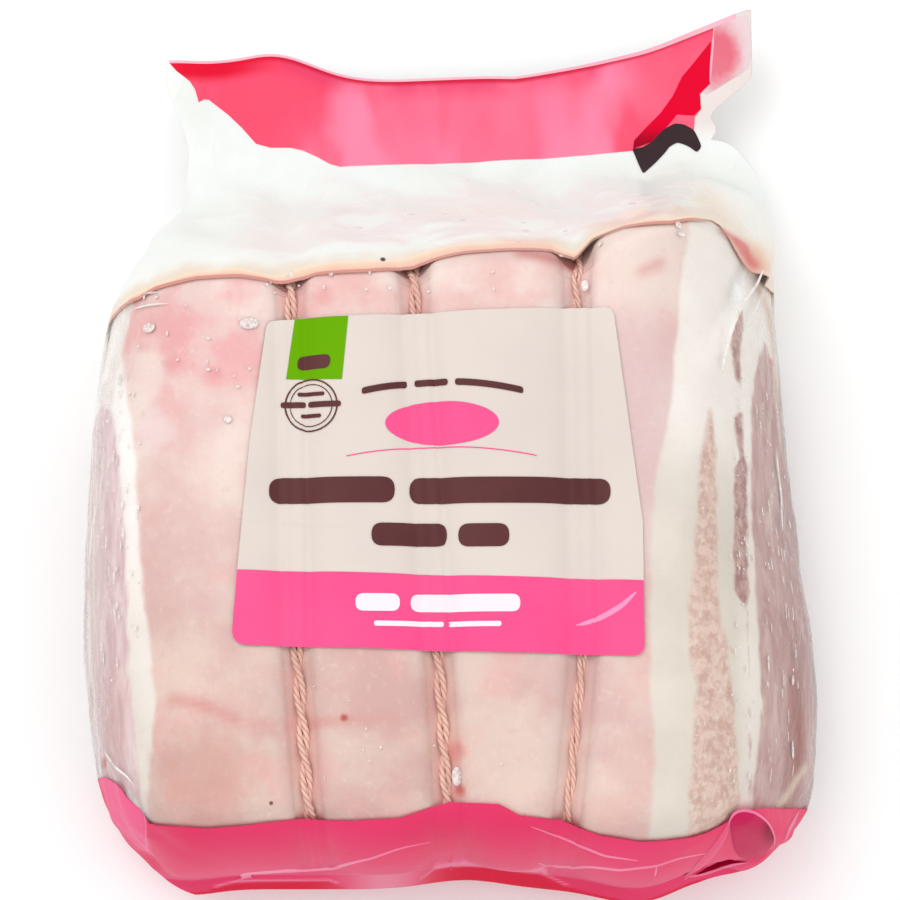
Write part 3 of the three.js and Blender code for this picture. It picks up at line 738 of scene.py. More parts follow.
def roast_finish():
    """Pale rind on the face; fat, two thin strips of lean and the muscle on the cut flanks."""
    finish, nodes = new_finish("Raw rind, fat and muscle")
    grain = use_group(nodes, meat_grain, Mottle_Scale=38.0, Fibre_Scale=300.0, Fine_Scale=1300.0)
    mottle, fibre, fine = grain["Mottle"], grain["Fibre"], grain["Fine"]
    patch = nodes.noise(60.0, 3.0, roughness=0.55)
    low = nodes.attribute("low")
    past = nodes.attribute("past")
    ragged = nodes.math("MULTIPLY", nodes.math("SUBTRACT", nodes.noise(160.0, 4.0), 0.5), 2.2)

    def layer(name, soft):
        value = nodes.math("ADD", nodes.attribute(name), ragged)
        return nodes.step(value, -soft, soft)

    def rgb_step(value, low_value, high_value, a, b):
        return nodes.mix(nodes.step(value, low_value, high_value), a, b)

    def stain(colour, mask, amount, paint):
        return nodes.mix(nodes.math("MULTIPLY", mask, amount), colour, paint)

    # rind: pale and even at the head, pinker and tanner at the foot, blotched at the upper left
    head_rind = rgb_step(mottle, 0.38, 0.62, tone(230, 202, 198), tone(238, 221, 214))
    foot_rind = rgb_step(mottle, 0.38, 0.62, tone(213, 176, 170), tone(221, 198, 188))
    rind = nodes.mix(low, head_rind, foot_rind)
    rind = stain(rind, nodes.step(patch, 0.48, 0.66), 0.5, tone(230, 180, 175))
    rind = stain(rind, nodes.step(nodes.noise(24.0, 3.0), 0.52, 0.7), 0.45, tone(236, 210, 198))
    rind = stain(rind, nodes.math("MULTIPLY", nodes.attribute("blotch"), nodes.step(patch, 0.4, 0.62)), 0.85,
                 tone(232, 172, 174))
    rind = stain(rind, nodes.attribute("pale"), 0.7, tone(238, 222, 214))
    rind = stain(rind, nodes.attribute("rosy"), 0.6, tone(224, 197, 198))
    rind = stain(rind, nodes.step(nodes.noise(520.0, 3.0), 0.55, 0.75), 0.22, tone(244, 226, 217))
    rind = stain(rind, nodes.step(nodes.noise(300.0, 4.0, roughness=0.7), 0.56, 0.72), 0.22, tone(214, 164, 154))
    rind = stain(rind, nodes.attribute("scar"), 0.75, tone(214, 138, 134))
    # painted shade: darker pink beside each loop of twine, where the rind dips into its groove
    rind = stain(rind, nodes.attribute("crease"), 0.6, tone(216, 152, 146))
    # painted shadow: a thin pink-brown line along the rind's head edge
    rind = stain(rind, nodes.attribute("rim"), 0.85, tone(214, 146, 134))

    fat = rgb_step(mottle, 0.35, 0.7, tone(222, 213, 203), tone(230, 222, 212))
    # painted light: the fat is lightened towards the head on the right and along the right flank's edge
    fat = nodes.mix(nodes.attribute("upper"), fat, rgb_step(mottle, 0.35, 0.7, tone(243, 236, 230), tone(248, 243, 238)))
    # painted light: the fat on the left flank is lightened against the flank's shade, less so towards the foot
    fat = nodes.mix(nodes.attribute("far_left"), fat, rgb_step(mottle, 0.35, 0.7, tone(245, 238, 234), tone(250, 246, 243)))
    fat = stain(fat, nodes.step(fine, 0.55, 0.75), 0.2, tone(222, 206, 196))
    fat = nodes.mix(nodes.step(past, 1.0, 5.0), fat, tone(240, 222, 198))
    fleck = nodes.step(nodes.noise(760.0, 3.0, nodes.place((1.0, 0.7, 1.0))), 0.54, 0.68)
    grainy = rgb_step(nodes.noise(330.0, 4.0, roughness=0.7), 0.36, 0.62, tone(208, 174, 162), tone(230, 206, 194))
    grainy = stain(grainy, fleck, 0.65, tone(236, 222, 206))
    lean_strip = rgb_step(nodes.noise(300.0, 4.0, roughness=0.7), 0.38, 0.62, tone(176, 136, 134), tone(204, 174, 166))
    lean_strip = stain(lean_strip, fleck, 0.5, tone(226, 210, 202))
    pale_muscle = rgb_step(fibre, 0.32, 0.7, tone(194, 157, 154), tone(214, 186, 182))
    deep_muscle = rgb_step(fibre, 0.32, 0.7, tone(181, 139, 138), tone(205, 169, 166))
    raw = rgb_step(mottle, 0.4, 0.62, tone(158, 90, 86), tone(182, 116, 108))
    deep_muscle = nodes.mix(nodes.attribute("raw_foot"), deep_muscle, raw)
    right = nodes.mix(nodes.step(nodes.attribute("muscle_right"), 4.0, 15.0), pale_muscle, deep_muscle)
    left = rgb_step(fibre, 0.3, 0.7, tone(216, 186, 188), tone(236, 220, 219))
    left = stain(left, nodes.attribute("raw_left"), 0.6, tone(212, 170, 170))
    marble = nodes.step(nodes.noise(80.0, 4.0, nodes.place((1.2, 0.3, 1)), distortion=1.4), 0.6, 0.7)
    right = stain(right, marble, 0.5, tone(228, 212, 200))
    left = stain(left, marble, 0.5, tone(236, 226, 222))

    colour = nodes.mix(layer("rind_in", 0.9), fat, rind)
    colour = stain(colour, layer("grainy", 0.8), 0.95, grainy)
    colour = nodes.mix(layer("lean_strip", 0.6), colour, lean_strip)
    colour = nodes.mix(layer("muscle_right", 0.7), colour, right)
    colour = nodes.mix(layer("muscle_left", 0.9), colour, left)
    colour = stain(colour, nodes.attribute("tan_side"), 0.8, tone(222, 188, 168))
    colour = stain(colour, nodes.attribute("cream_low"), 0.8, tone(226, 210, 192))
    wobble = nodes.noise(350.0, 2.0)
    for centre_x, centre_y, radius, core, strength, paint in (
            (-26.2, -79.1, 1.5, 0.25, 0.9, tone(186, 84, 72)),
            (-44.1, -100.0, 0.6, 0.5, 0.9, tone(96, 44, 40)),
            (31.9, 36.8, 2.4, 0.2, 0.8, tone(196, 110, 104)),
            (1.2, -87.0, 4.5, 0.1, 0.7, tone(222, 140, 134)),
            (-60.0, 8.0, 4.0, 0.1, 0.6, tone(228, 150, 154)),
            (-70.0, 10.5, 4.5, 0.1, 0.5, tone(228, 156, 160)),
            (-46.0, 3.0, 3.0, 0.1, 0.5, tone(228, 150, 154)),
            (-75.0, -6.0, 8.0, 0.3, 0.6, tone(238, 220, 220)),
            (-32.0, 28.0, 4.0, 0.1, 0.5, tone(226, 152, 148)),
            (-60.0, -93.0, 20.0, 0.1, 0.6, tone(208, 156, 144)),
            (-24.0, 30.0, 9.0, 0.1, 0.4, tone(228, 176, 170)),
            (12.0, 34.0, 9.0, 0.1, 0.4, tone(230, 178, 172)),
            (2.5, -96.6, 2.2, 0.1, 0.8, tone(205, 96, 88)),
            (86.3, 21.0, 1.6, 0.3, 0.7, tone(210, 130, 122)),
            (-89.1, -87.5, 2.0, 0.3, 0.9, tone(196, 92, 92)),
            (-86.4, -93.2, 1.5, 0.3, 0.9, tone(196, 92, 92))):
        spot = use_group(nodes, round_spot, Centre_X=centre_x * MM, Centre_Y=centre_y * MM,
                         Radius=radius * MM, Core=core, Wobble=wobble)
        colour = nodes.mix(nodes.math("MULTIPLY", spot["Mask"], strength), colour, paint)

    strands = nodes.noise(300.0, 1.0, nodes.place((1.0, 0.22, 1.0)))
    cut = nodes.step(nodes.attribute("muscle_right"), -0.7, 0.7, 0.25, 1.0)
    height = nodes.math("MULTIPLY_ADD", strands, cut, nodes.math("MULTIPLY", nodes.noise(1100.0, 0.0), 0.3))
    normal = nodes.bump(height, 0.35, 0.0006)
    wet = nodes.step(mottle, 0.3, 0.7, 0.32, 0.48)
    body = nodes.add("ShaderNodeBsdfPrincipled", {
        "Base Color": colour, "Roughness": wet, "IOR": 1.4, "Normal": normal,
        "Specular IOR Level": 0.35})
    show(nodes, body.outputs[0])
    return finish


TAN_SIDE = ((82.2, 39.5), (85.8, 35.0), (87.5, 28.0), (88.4, 19.7), (89.0, 11.4))
CREAM_LOW = ((92.9, -88.0), (90.0, -91.4), (87.8, -95.0), (85.0, -97.9))


def line_mask(p, line, spread):
    """A soft mask along a line of plan points, on the upper side only."""
    flat = p * (1, 1, 0)
    parts = [bell(segment_distance(flat, (*a, 0), (*b, 0)), 0, spread) for a, b in zip(line[:-1], line[1:])]
    return np.max(parts, axis=0) * (p[..., 2] > SEAM_HEIGHT)


UNDER_DROP, UNDER_SPAN = 26.0, (-24.0, 30.0)  # how the cut face's edge falls towards the head


def roast_masks(p):
    """Signed distances in millimetres into each layer of the roast, and masks of its markings and of painted light and
    shade.
    """
    x, y, z = p[..., 0], p[..., 1], p[..., 2]
    under = SEAM_HEIGHT - z - UNDER_DROP * ease(y, *UNDER_SPAN)
    above = np.where(z < 34, -20.0, 20.0)
    rind_in = np.minimum(x - along(RIND_LEFT, y), along(RIND_RIGHT, y) - x)
    rind_in = np.minimum(rind_in, z - 60)
    grainy = np.minimum(np.minimum(x - along(GRAINY_IN, y), along(GRAINY_OUT, y) - x), above)
    strip = np.minimum(np.minimum(x - along(LEAN_STRIP_IN, y), along(LEAN_STRIP_OUT, y) - x), above)
    muscle_right = np.minimum(x - along(MUSCLE_RIGHT, y), along(MUSCLE_TOP, y) - x)
    muscle_left = along(MUSCLE_LEFT, y) - x
    ends = np.where(past_rind(p) > 2, np.maximum(44 - z, -30), -30.0)
    scar = np.max([bell(segment_distance(p * (1, 1, 0), (x0, y0, 0), (x1, y1, 0)), 0, 1.7) * strength
                   for (x0, y0, strength), (x1, y1, _) in zip(SCAR[:-1], SCAR[1:])], axis=0)
    local = p - SHIFT
    # painted shade along each twine loop's groove
    crease = sum(bell(local[..., 0] - loop_x(loop, local[..., 1]), 0, w) * strength
                 for loop, w, strength in zip(LOOPS, (2.6, 2.6, 2.0), (0.9, 1.0, 0.6)))
    past = past_rind(p)
    purge = bell(segment_distance(p * (1, 1, 0), (18, 39.5, 0), (31, 37.5, 0)), 0, 1.8)
    purge = purge + 0.6 * bell(segment_distance(p * (1, 1, 0), (49, 35, 0), (53.5, 37.5, 0)), 0, 1.7)
    return {
        "rind_in": rind_in,
        "grainy": grainy,
        "lean_strip": strip,
        "muscle_right": np.maximum(np.maximum(muscle_right, ends), under),
        "muscle_left": np.where(x < 0, np.maximum(muscle_left, under), -20.0),
        "low": ease(-y, -20, 92) * (1 - 0.35 * ease(x, -10, 40)),
        "blotch": bell(x, -60, 26) * ease(y, -12, 22),
        "pale": np.clip(ease(x, 34, 40) * ease(y, 16, 32) + 0.15 * bell(past, -4, 3.5) * (past < 0), 0, 1),
        "rosy": ease(x, 34, 46) * (1 - ease(y, 10, 32)) * ease(y, -60, -20),
        # painted light on the upper right fat
        "upper": np.clip(ease(y, -40, 10) * ease(x, 40, 60) + 0.5 * ease(x, 71, 76), 0, 1),
        "scar": np.clip(scar + purge, 0, 1),
        # the painted shadow line along the rind's head edge
        "rim": bell(past, 0.1, 0.7) * (z > 44),
        "past": past,
        # painted light on the left flank's fat
        "far_left": ease(-x, 40, 60) * (1 - 0.75 * ease(-y, 30, 85)),
        "tan_side": line_mask(p, TAN_SIDE, 1.8),
        "cream_low": line_mask(p, CREAM_LOW, 1.1),
        "raw_foot": ease(-y, 40, 75) * ease(z, 24, 40),
        "raw_left": bell(y, -80, 22) * bell(x, -86, 5),
        "crease": np.clip(crease, 0, 1),
    }


roast = make_piece("roast", meat_grid, meat_faces, roast_finish())
for mask, values in roast_masks(meat_grid).items():
    store(roast, mask, values)


# The twine

TWINE_OUT = 0.9  # how far the middle of the doubled twine stands out of its groove in the rind


def loop_path(loop):
    """Points of one loop round the roast: from its back over the foot, up the face and down the head."""
    rows = np.concatenate([np.linspace(1.06, 2, 50), np.linspace(2.01, 3, 80),
                           3 + np.sin(np.linspace(0.01, 0.97, 30) * math.pi / 2)])
    halves = []
    for low, high in ((1.05, 1.95), (4.05, 4.95)):
        turns = np.linspace(low, high, 240)
        grid = meat_plain(*np.broadcast_arrays(rows[:, None], turns[None, :]))
        off = grid[..., 0] - loop_x(loop, np.clip(grid[..., 1], FOOT_SEAM, 60))
        nearest = np.array([np.interp(0, o if o[0] < o[-1] else o[::-1],
                                      turns if o[0] < o[-1] else turns[::-1]) for o in off])
        plain = meat_plain(rows, nearest)
        swollen = ease(np.abs(plain[:, 2] - SEAM_HEIGHT), *SEAM_FADE)
        points = centred(meat_surface(rows, nearest, lerp(-TWINE_RISE, TWINE_OUT, swollen) - loop[3]))
        halves.append(points)
    front, back = halves
    back[:, 2] = np.maximum(back[:, 2], 2.6)
    middle = len(back) // 2
    return np.concatenate([back[middle::-1], front, back[:middle - 6:-1]])


def twine_tree(material):
    """Two strands laid round each other along a line, each a rope of three yarns."""
    tree = bpy.data.node_groups.new("Doubled twine", "GeometryNodeTree")
    sizes = {"Strand Radius": 0.00078, "Pair Offset": 0.00086, "Pair Turns": 46.0, "Yarn Turns": -150.0,
             "Step": 0.0007, "Yarn Depth": 0.14}
    tree.interface.new_socket("Geometry", in_out="INPUT", socket_type="NodeSocketGeometry")
    for label, value in sizes.items():
        tree.interface.new_socket(label, in_out="INPUT", socket_type="NodeSocketFloat").default_value = value
    tree.interface.new_socket("Geometry", in_out="OUTPUT", socket_type="NodeSocketGeometry")
    nodes = Nodes(tree)
    given = nodes.add("NodeGroupInput").outputs
    line = nodes.add("GeometryNodeMeshToCurve", {"Mesh": given["Geometry"]}).outputs[0]
    even = nodes.add("GeometryNodeResampleCurve", {"Curve": line, "Length": given["Step"]}, mode="LENGTH").outputs[0]
    length = nodes.add("GeometryNodeSplineParameter").outputs["Length"]
    kept = nodes.add("GeometryNodeStoreNamedAttribute", {"Geometry": even, "Name": "run", "Value": length},
                     data_type="FLOAT", domain="POINT").outputs[0]
    normal = nodes.add("GeometryNodeInputNormal").outputs[0]
    tangent = nodes.add("GeometryNodeInputTangent").outputs[0]
    binormal = nodes.add("ShaderNodeVectorMath", {0: normal, 1: tangent}, operation="CROSS_PRODUCT").outputs[0]

    circle = nodes.add("GeometryNodeCurvePrimitiveCircle", {"Resolution": 12, "Radius": 1.0}).outputs[0]
    angle = nodes.math("MULTIPLY", nodes.add("GeometryNodeSplineParameter").outputs["Factor"], 2 * math.pi)
    lobes = nodes.math("COSINE", nodes.math("MULTIPLY", angle, 3.0))
    swell = nodes.math("MULTIPLY_ADD", lobes, given["Yarn Depth"], 1.0)
    reach = nodes.math("MULTIPLY", swell, given["Strand Radius"])
    spot = nodes.add("GeometryNodeInputPosition").outputs[0]
    profile_at = nodes.add("ShaderNodeVectorMath", {0: spot, "Scale": reach}, operation="SCALE").outputs[0]
    lobed = nodes.add("GeometryNodeStoreNamedAttribute", {"Geometry": circle, "Name": "yarn", "Value": lobes},
                      data_type="FLOAT", domain="POINT").outputs[0]
    profile = nodes.add("GeometryNodeSetPosition", {"Geometry": lobed, "Position": profile_at}).outputs[0]

    joined = nodes.add("GeometryNodeJoinGeometry")
    for start in (0.0, math.pi):
        phase = nodes.math("MULTIPLY_ADD", nodes.math("MULTIPLY", length, given["Pair Turns"]), 2 * math.pi, start)
        side = nodes.add("ShaderNodeVectorMath", {0: normal, "Scale": nodes.math("COSINE", phase)},
                         operation="SCALE").outputs[0]
        over = nodes.add("ShaderNodeVectorMath", {0: binormal, "Scale": nodes.math("SINE", phase)},
                         operation="SCALE").outputs[0]
        both = nodes.add("ShaderNodeVectorMath", {0: side, 1: over}, operation="ADD").outputs[0]
        offset = nodes.add("ShaderNodeVectorMath", {0: both, "Scale": given["Pair Offset"]},
                           operation="SCALE").outputs[0]
        strand = nodes.add("GeometryNodeSetPosition", {"Geometry": kept, "Offset": offset}).outputs[0]
        tilt = nodes.math("MULTIPLY", nodes.math("MULTIPLY", length, given["Yarn Turns"]), 2 * math.pi)
        tilted = nodes.add("GeometryNodeSetCurveTilt", {"Curve": strand, "Tilt": tilt}).outputs[0]
        rope = nodes.add("GeometryNodeCurveToMesh", {"Curve": tilted, "Profile Curve": profile,
                                                     "Fill Caps": True}).outputs[0]
        tree.links.new(rope, joined.inputs[0])
    real = nodes.add("GeometryNodeRealizeInstances", {"Geometry": joined.outputs[0]}).outputs[0]
    smooth = nodes.add("GeometryNodeSetShadeSmooth", {"Geometry": real}).outputs[0]
    done = nodes.add("GeometryNodeSetMaterial", {"Geometry": smooth, "Material": material}).outputs[0]
    nodes.add("NodeGroupOutput", {"Geometry": done})
    return tree


def run_tree(name, points, edges, tree, material, values=None, attributes=None):
    """Runs a tree on a line or on loose points and keeps the plain mesh that it makes."""
    mesh = bpy.data.meshes.new(name)
    mesh.from_pydata((np.asarray(points) * MM).tolist(), edges, [])
    for label, numbers in (attributes or {}).items():
        vector = np.ndim(numbers) == 2
        layer = mesh.attributes.new(label, "FLOAT_VECTOR" if vector else "FLOAT", "POINT")
        layer.data.foreach_set("vector" if vector else "value", np.asarray(numbers, dtype=np.float32).ravel())
    seedling = bpy.data.objects.new(name + "_line", mesh)
    bpy.context.scene.collection.objects.link(seedling)
    modifier = seedling.modifiers.new("shape", "NODES")
    modifier.node_group = tree
    for item in tree.interface.items_tree:
        if item.in_out == "INPUT" and values and item.name in values:
            modifier[item.identifier] = values[item.name]
    evaluated = seedling.evaluated_get(bpy.context.evaluated_depsgraph_get())
    made = bpy.data.meshes.new_from_object(evaluated, preserve_all_data_layers=True,
                                           depsgraph=bpy.context.evaluated_depsgraph_get())
    seedling.modifiers.clear()
    bpy.data.objects.remove(seedling)
    bpy.data.meshes.remove(mesh)
    made.name = name
    if not made.materials:
        made.materials.append(material)
    piece = bpy.data.objects.new(name, made)
    bpy.context.scene.collection.objects.link(piece)
    finish_piece(piece)
    return piece


def twine_finish():
    """Cotton twine soaked by the meat: peach, with painted shade darker and pinker between its yarns."""
    finish, nodes = new_finish("Soaked cotton twine")
    yarn = nodes.attribute("yarn")
    soak = nodes.noise(90.0, 3.0)
    fuzz = nodes.noise(2600.0, 3.0)
    base = nodes.mix(nodes.step(soak, 0.35, 0.7), tone(240, 207, 190), tone(230, 190, 177))
    # painted shade in the recesses between the yarns
    colour = nodes.mix(nodes.step(yarn, -0.95, 0.1), tone(214, 150, 136), base)
    normal = nodes.bump(fuzz, 0.4, 0.0002)
    body = nodes.add("ShaderNodeBsdfPrincipled", {"Base Color": colour, "Roughness": 0.62, "Normal": normal})
    show(nodes, body.outputs[0])
    return finish


twine_paint = twine_finish()
twine = twine_tree(twine_paint)
for number, (loop, size) in enumerate(zip(LOOPS, (1.0, 1.0, 0.8)), 1):
    path = loop_path(loop)
    edges = [(i, i + 1) for i in range(len(path) - 1)]
    run_tree(f"twine_{number}", path, edges, twine, twine_paint,
             {"Strand Radius": 0.00078 * size, "Pair Offset": 0.00082 * size})


# The print

film_tree = BVHTree.FromPolygons(film_grid.reshape(-1, 3).tolist(), film_faces)
SKY = 300.0  # height in millimetres from which the print is laid down on the film


def lay_down(points, lift):
    """Drops plan points onto the film from above, and lifts them off it along its normal."""
    laid = []
    for (x, y), height in zip(points, np.broadcast_to(lift, len(points)).tolist()):
        spot, normal, _, _ = film_tree.ray_cast(Vector((x, y, SKY)), Vector((0, 0, -1)))
        if spot is None:
            spot, normal, _, _ = film_tree.find_nearest(Vector((x, y, NECK_HEIGHT)))
        laid.append(spot + (normal if normal.z > 0 else -normal) * height)
    return np.array([tuple(v) for v in laid])


def rounded(corners, radius):
    """A closed outline through corners (x, y) or (x, y, radius), each rounded off."""
    outline = []
    count = len(corners)
    for i in range(count):
        here = np.array(corners[i][:2], float)
        before, after = np.array(corners[i - 1][:2], float), np.array(corners[(i + 1) % count][:2], float)
        r = corners[i][2] if len(corners[i]) > 2 else radius
        if r <= 0:
            outline.append(tuple(here))
            continue
        to_before, to_after = before - here, after - here
        size_before, size_after = np.linalg.norm(to_before), np.linalg.norm(to_after)
        r = min(r, 0.48 * size_before, 0.48 * size_after)
        start, end = here + to_before / size_before * r, here + to_after / size_after * r
        for t in np.linspace(0, 1, 7):
            outline.append(tuple((1 - t) ** 2 * start + 2 * t * (1 - t) * here + t * t * end))
    return outline


def bar(x0, x1, y0, y1, radius, slant=0.0):
    """A rounded bar; slant is how much its right end is lower."""
    return rounded([(x0, y0), (x1, y0 - slant), (x1, y1 - slant), (x0, y1)], radius)


def oval(x, y, across, up, count=64):
    turns = np.linspace(0, 2 * math.pi, count, endpoint=False)
    return [(x + across * math.cos(a), y + up * math.sin(a)) for a in turns]


def dense(outline, spacing):
    points = []
    for (x0, y0), (x1, y1) in zip(outline, outline[1:] + outline[:1]):
        count = max(1, math.ceil(math.hypot(x1 - x0, y1 - y0) / spacing))
        points += [(lerp(x0, x1, i / count), lerp(y0, y1, i / count)) for i in range(count)]
    return points


def inside(outline, x, y):
    xs, ys = np.array(outline).T
    xn, yn = np.roll(xs, -1), np.roll(ys, -1)
    crossing = ((ys > y[:, None]) != (yn > y[:, None])) & (
        x[:, None] < (xn - xs) * (y[:, None] - ys) / np.where(yn == ys, 1e-9, yn - ys) + xs)
    return crossing.sum(axis=1) % 2 == 1


def field_mesh(outline, spacing):
    """A flat mesh inside an outline; its inner points sit on one lattice, so that fields one above another agree."""
    edge = dense(outline, spacing)
    xs, ys = np.array(edge).T
    gx, gy = np.meshgrid(np.arange(math.floor(xs.min() / spacing), math.ceil(xs.max() / spacing)),
                         np.arange(math.floor(ys.min() / spacing), math.ceil(ys.max() / spacing)))
    gx, gy = ((gx + 0.5 * (gy % 2)) * spacing).ravel(), (gy * spacing).ravel()
    if len(gx):
        keep = inside(edge, gx, gy)
        gaps = np.hypot(gx[keep, None] - xs, gy[keep, None] - ys).min(axis=1) if keep.any() else np.array([])
        inner = np.stack([gx[keep], gy[keep]], 1)[gaps > spacing * 0.45]
    else:
        inner = np.zeros((0, 2))
    points = [Vector(p) for p in edge] + [Vector(p) for p in inner.tolist()]
    loop = [(i, (i + 1) % len(edge)) for i in range(len(edge))]
    verts, _, faces, *_ = delaunay_2d_cdt(points, loop, [], 1, 1e-5)
    return [tuple(v) for v in verts], [list(f) for f in faces]


def printed(name, outlines, material, lift=0.1, spacing=0.8):
    """One colour of the print: flat fields laid down on the film as one piece."""
    points, faces = [], []
    for outline in outlines:
        verts, tris = field_mesh(outline, spacing)
        faces += [[len(points) + i for i in f] for f in tris]
        points += verts
    laid = lay_down(points, lift)
    a, b, c = (laid[[f[i] for f in faces]] for i in range(3))
    up = np.cross(b - a, c - a)[:, 2] > 0
    faces = [f if ok else f[::-1] for f, ok in zip(faces, up)]
    return make_piece(name, laid, faces, material)


def vertices_mm(piece):
    points = np.empty(len(piece.data.vertices) * 3, dtype=np.float32)
    piece.data.vertices.foreach_get("co", points)
    return points.reshape(-1, 3) / MM


ACROSS_FOLD = np.linspace(-1, 1, 7)


def folds(name, lines, half_width, height, material, slot, lift=0.12):
    """Narrow raised folds along lines of plan points, laid on the film and dying out at both ends."""
    points, faces, lifts = [], [], []
    for line in lines:
        line = np.array(line, float)
        run = np.concatenate([[0], np.cumsum(np.linalg.norm(np.diff(line, axis=0), axis=1))])
        steps = max(4, math.ceil(run[-1] / 0.9))
        t = np.linspace(0, run[-1], steps + 1)
        middle = np.stack([np.interp(t, run, line[:, 0]), np.interp(t, run, line[:, 1])], 1)
        for _ in range(3):  # rounds the line's corners
            middle[1:-1] = (middle[:-2] + 2 * middle[1:-1] + middle[2:]) / 4
        way = np.gradient(middle, axis=0)
        way /= np.linalg.norm(way, axis=1, keepdims=True)
        swell = np.sqrt(np.sin(np.linspace(0.02, 0.98, steps + 1) * math.pi))
        start = len(points)
        for spot, (dx, dy), big in zip(middle, way, swell):
            for s in ACROSS_FOLD:
                points.append((spot[0] - dy * s * half_width * big, spot[1] + dx * s * half_width * big))
                lifts.append(lift + height * big * math.cos(s * math.pi / 2))
        faces += [[start + i for i in f] for f in grid_faces(steps + 1, len(ACROSS_FOLD), False)]
    laid = lay_down(points, lifts)
    faces = [f[::-1] for f in faces]
    return make_piece(name, laid, faces, material)


def print_finish(name, colour, deep, rough=0.45, shade=None, gloss=0.2):
    """Ink on the film: nearly even, a little uneven in tone, under the film's gloss and creases."""
    finish, nodes = new_finish(name)
    crease = use_group(nodes, film_creases, Crease_Scale=60.0, Grain_Scale=700.0, Grain=0.1)
    cloud = nodes.noise(30.0, 3.0)
    ink = nodes.mix(nodes.step(cloud, 0.3, 0.75), colour, deep)
    if shade:
        ink = shade(nodes, ink)
    normal = nodes.bump(crease["Height"], 0.08, 0.0004)
    body = nodes.add("ShaderNodeBsdfPrincipled", {"Base Color": ink, "Roughness": rough, "IOR": 1.4,
                                                  "Specular IOR Level": gloss, "Normal": normal})
    show(nodes, body.outputs[0])
    return finish


cream = print_finish("Cream print", tone(214, 203, 195), tone(209, 197, 190))
pink = print_finish("Pink print", tone(238, 74, 134), tone(235, 84, 138))
green = print_finish("Green print", tone(100, 164, 0), tone(94, 158, 0), gloss=0.05)
brown = print_finish("Brown print", tone(92, 48, 48), tone(80, 40, 42))
black = print_finish("Dark print", tone(54, 36, 40), tone(46, 30, 34))
white = print_finish("White print", tone(240, 226, 232), tone(236, 218, 226))

LABEL = rounded([(-46.4, 21.9, 2.2), (41.3, 25.4, 2.6), (48.3, -29.7, 0), (48.4, -63.6, 3.2),
                 (-54.4, -60.9, 4.2), (-52.9, -40.0, 0), (-50.4, -9.3, 0)], 0)
BAND = rounded([(-53.1, -42.0, 0), (48.3, -44.6, 0), (48.4, -63.6, 3.2), (-54.4, -60.9, 4.2)], 0)
TAG = [(-39.3, 22.3), (-25.7, 22.6), (-27.2, 6.3), (-41.5, 6.8)]
printed("label_panel", [LABEL], cream, lift=0.14)
printed("label_band", [BAND], pink, lift=0.24)
printed("label_tag", [TAG], green, lift=0.24)


def word_bars(x0, x1, middle, height, widths, gap, slant=0.0):
    """A row of bars with round ends, one for each word; widths are shares of the line."""
    unit = (x1 - x0 - gap * (len(widths) - 1)) / sum(widths)
    outlines, x = [], x0
    for w in widths:
        drop = slant * (x - x0) / (x1 - x0)
        outlines.append(bar(x, x + w * unit, middle - drop + height / 2, middle - drop - height / 2, height / 2))
        x += w * unit + gap
    return outlines


def arc_bars(x0, x1, y_end, y_top, height, widths, gap):
    """Bars that follow a shallow arc."""
    unit = (x1 - x0 - gap * (len(widths) - 1)) / sum(widths)
    centre, half = (x0 + x1) / 2, (x1 - x0) / 2
    outlines, x = [], x0
    for w in widths:
        xs = np.linspace(x, x + w * unit, 2 + int(w))
        ys = y_top - (y_top - y_end) * ((xs - centre) / half) ** 2
        line = list(zip(xs, ys + height / 2)) + list(zip(xs[::-1], ys[::-1] - height / 2))
        outlines.append(rounded(line, height * 0.45))
        x += w * unit + gap
    return outlines


def ring(x, y, radius, width, count=48):
    """A thin ring as short outlines."""
    turns = np.linspace(0, 2 * math.pi, count + 1)
    outlines = []
    for a, b in zip(turns[:-1], turns[1:]):
        outlines.append([(x + r * math.cos(t), y + r * math.sin(t)) for r, t in
                         ((radius, a), (radius, b), (radius - width, b), (radius - width, a))])
    return outlines


words = word_bars(-45.5, 40.3, -21.9, 6.6, (5, 8), 3.6, 0.4)
words += word_bars(-19.6, 14.8, -33.2, 5.8, (3, 2), 2.8, 0.3)
words += arc_bars(-22.2, 18.4, 3.2, 5.6, 1.7, (4, 3, 6), 1.8)
words += ring(-35, -0.1, 6.8, 0.4) + ring(-35, -0.1, 5.5, 0.25)
words += word_bars(-42.6, -27.4, 0.1, 1.5, (3, 4), 0.8) + word_bars(-38.4, -31.6, 2.8, 1.0, (1,), 0)
words += word_bars(-37.6, -32.4, -2.8, 1.0, (1,), 0)
words += [rounded([(-38.4, 12.6), (-30.0, 12.9), (-30.3, 9.3), (-38.7, 9.0)], 1.7)]
printed("label_words", words, brown, lift=0.34)
printed("label_oval", [oval(-2.0, -4.9, 14.3, 5.6)], pink, lift=0.24)
arc_line = [(x, -10.9 - 2.3 * ((x + 2.1) / 23.8) ** 2) for x in np.linspace(-25.9, 21.7, 24)]
ground = arc_line + [(x, y - 0.3) for x, y in reversed(arc_line)]
printed("label_ground", [ground], pink, lift=0.24)
light_words = word_bars(-23.5, 17.5, -50.3, 4.4, (2, 5), 2.6, 0.2) + word_bars(-18.9, 12.8, -55.6, 1.3, (4, 3), 1.2)
printed("label_light_words", light_words, white, lift=0.34)
folds("label_crease", [[(-51, -29.7), (-42, -30.0), (-33, -30.9), (-24.5, -31.3)]], 0.35, 0.1, cream, "print_cream",
      lift=0.14)
# painted highlight: a light pink line where the film's fold over the band catches the light
sheen = print_finish("Painted highlight on a fold of the pink print", tone(246, 150, 190), tone(244, 136, 180), rough=0.3)
folds("label_fold_highlight", [[(31.6, -55.8), (34.9, -55.0), (38.6, -53.5), (42.8, -51.1), (46.4, -47.6)]], 0.7, 0.12, sheen,
      "print_pink", lift=0.24)


# The printed band round the foot

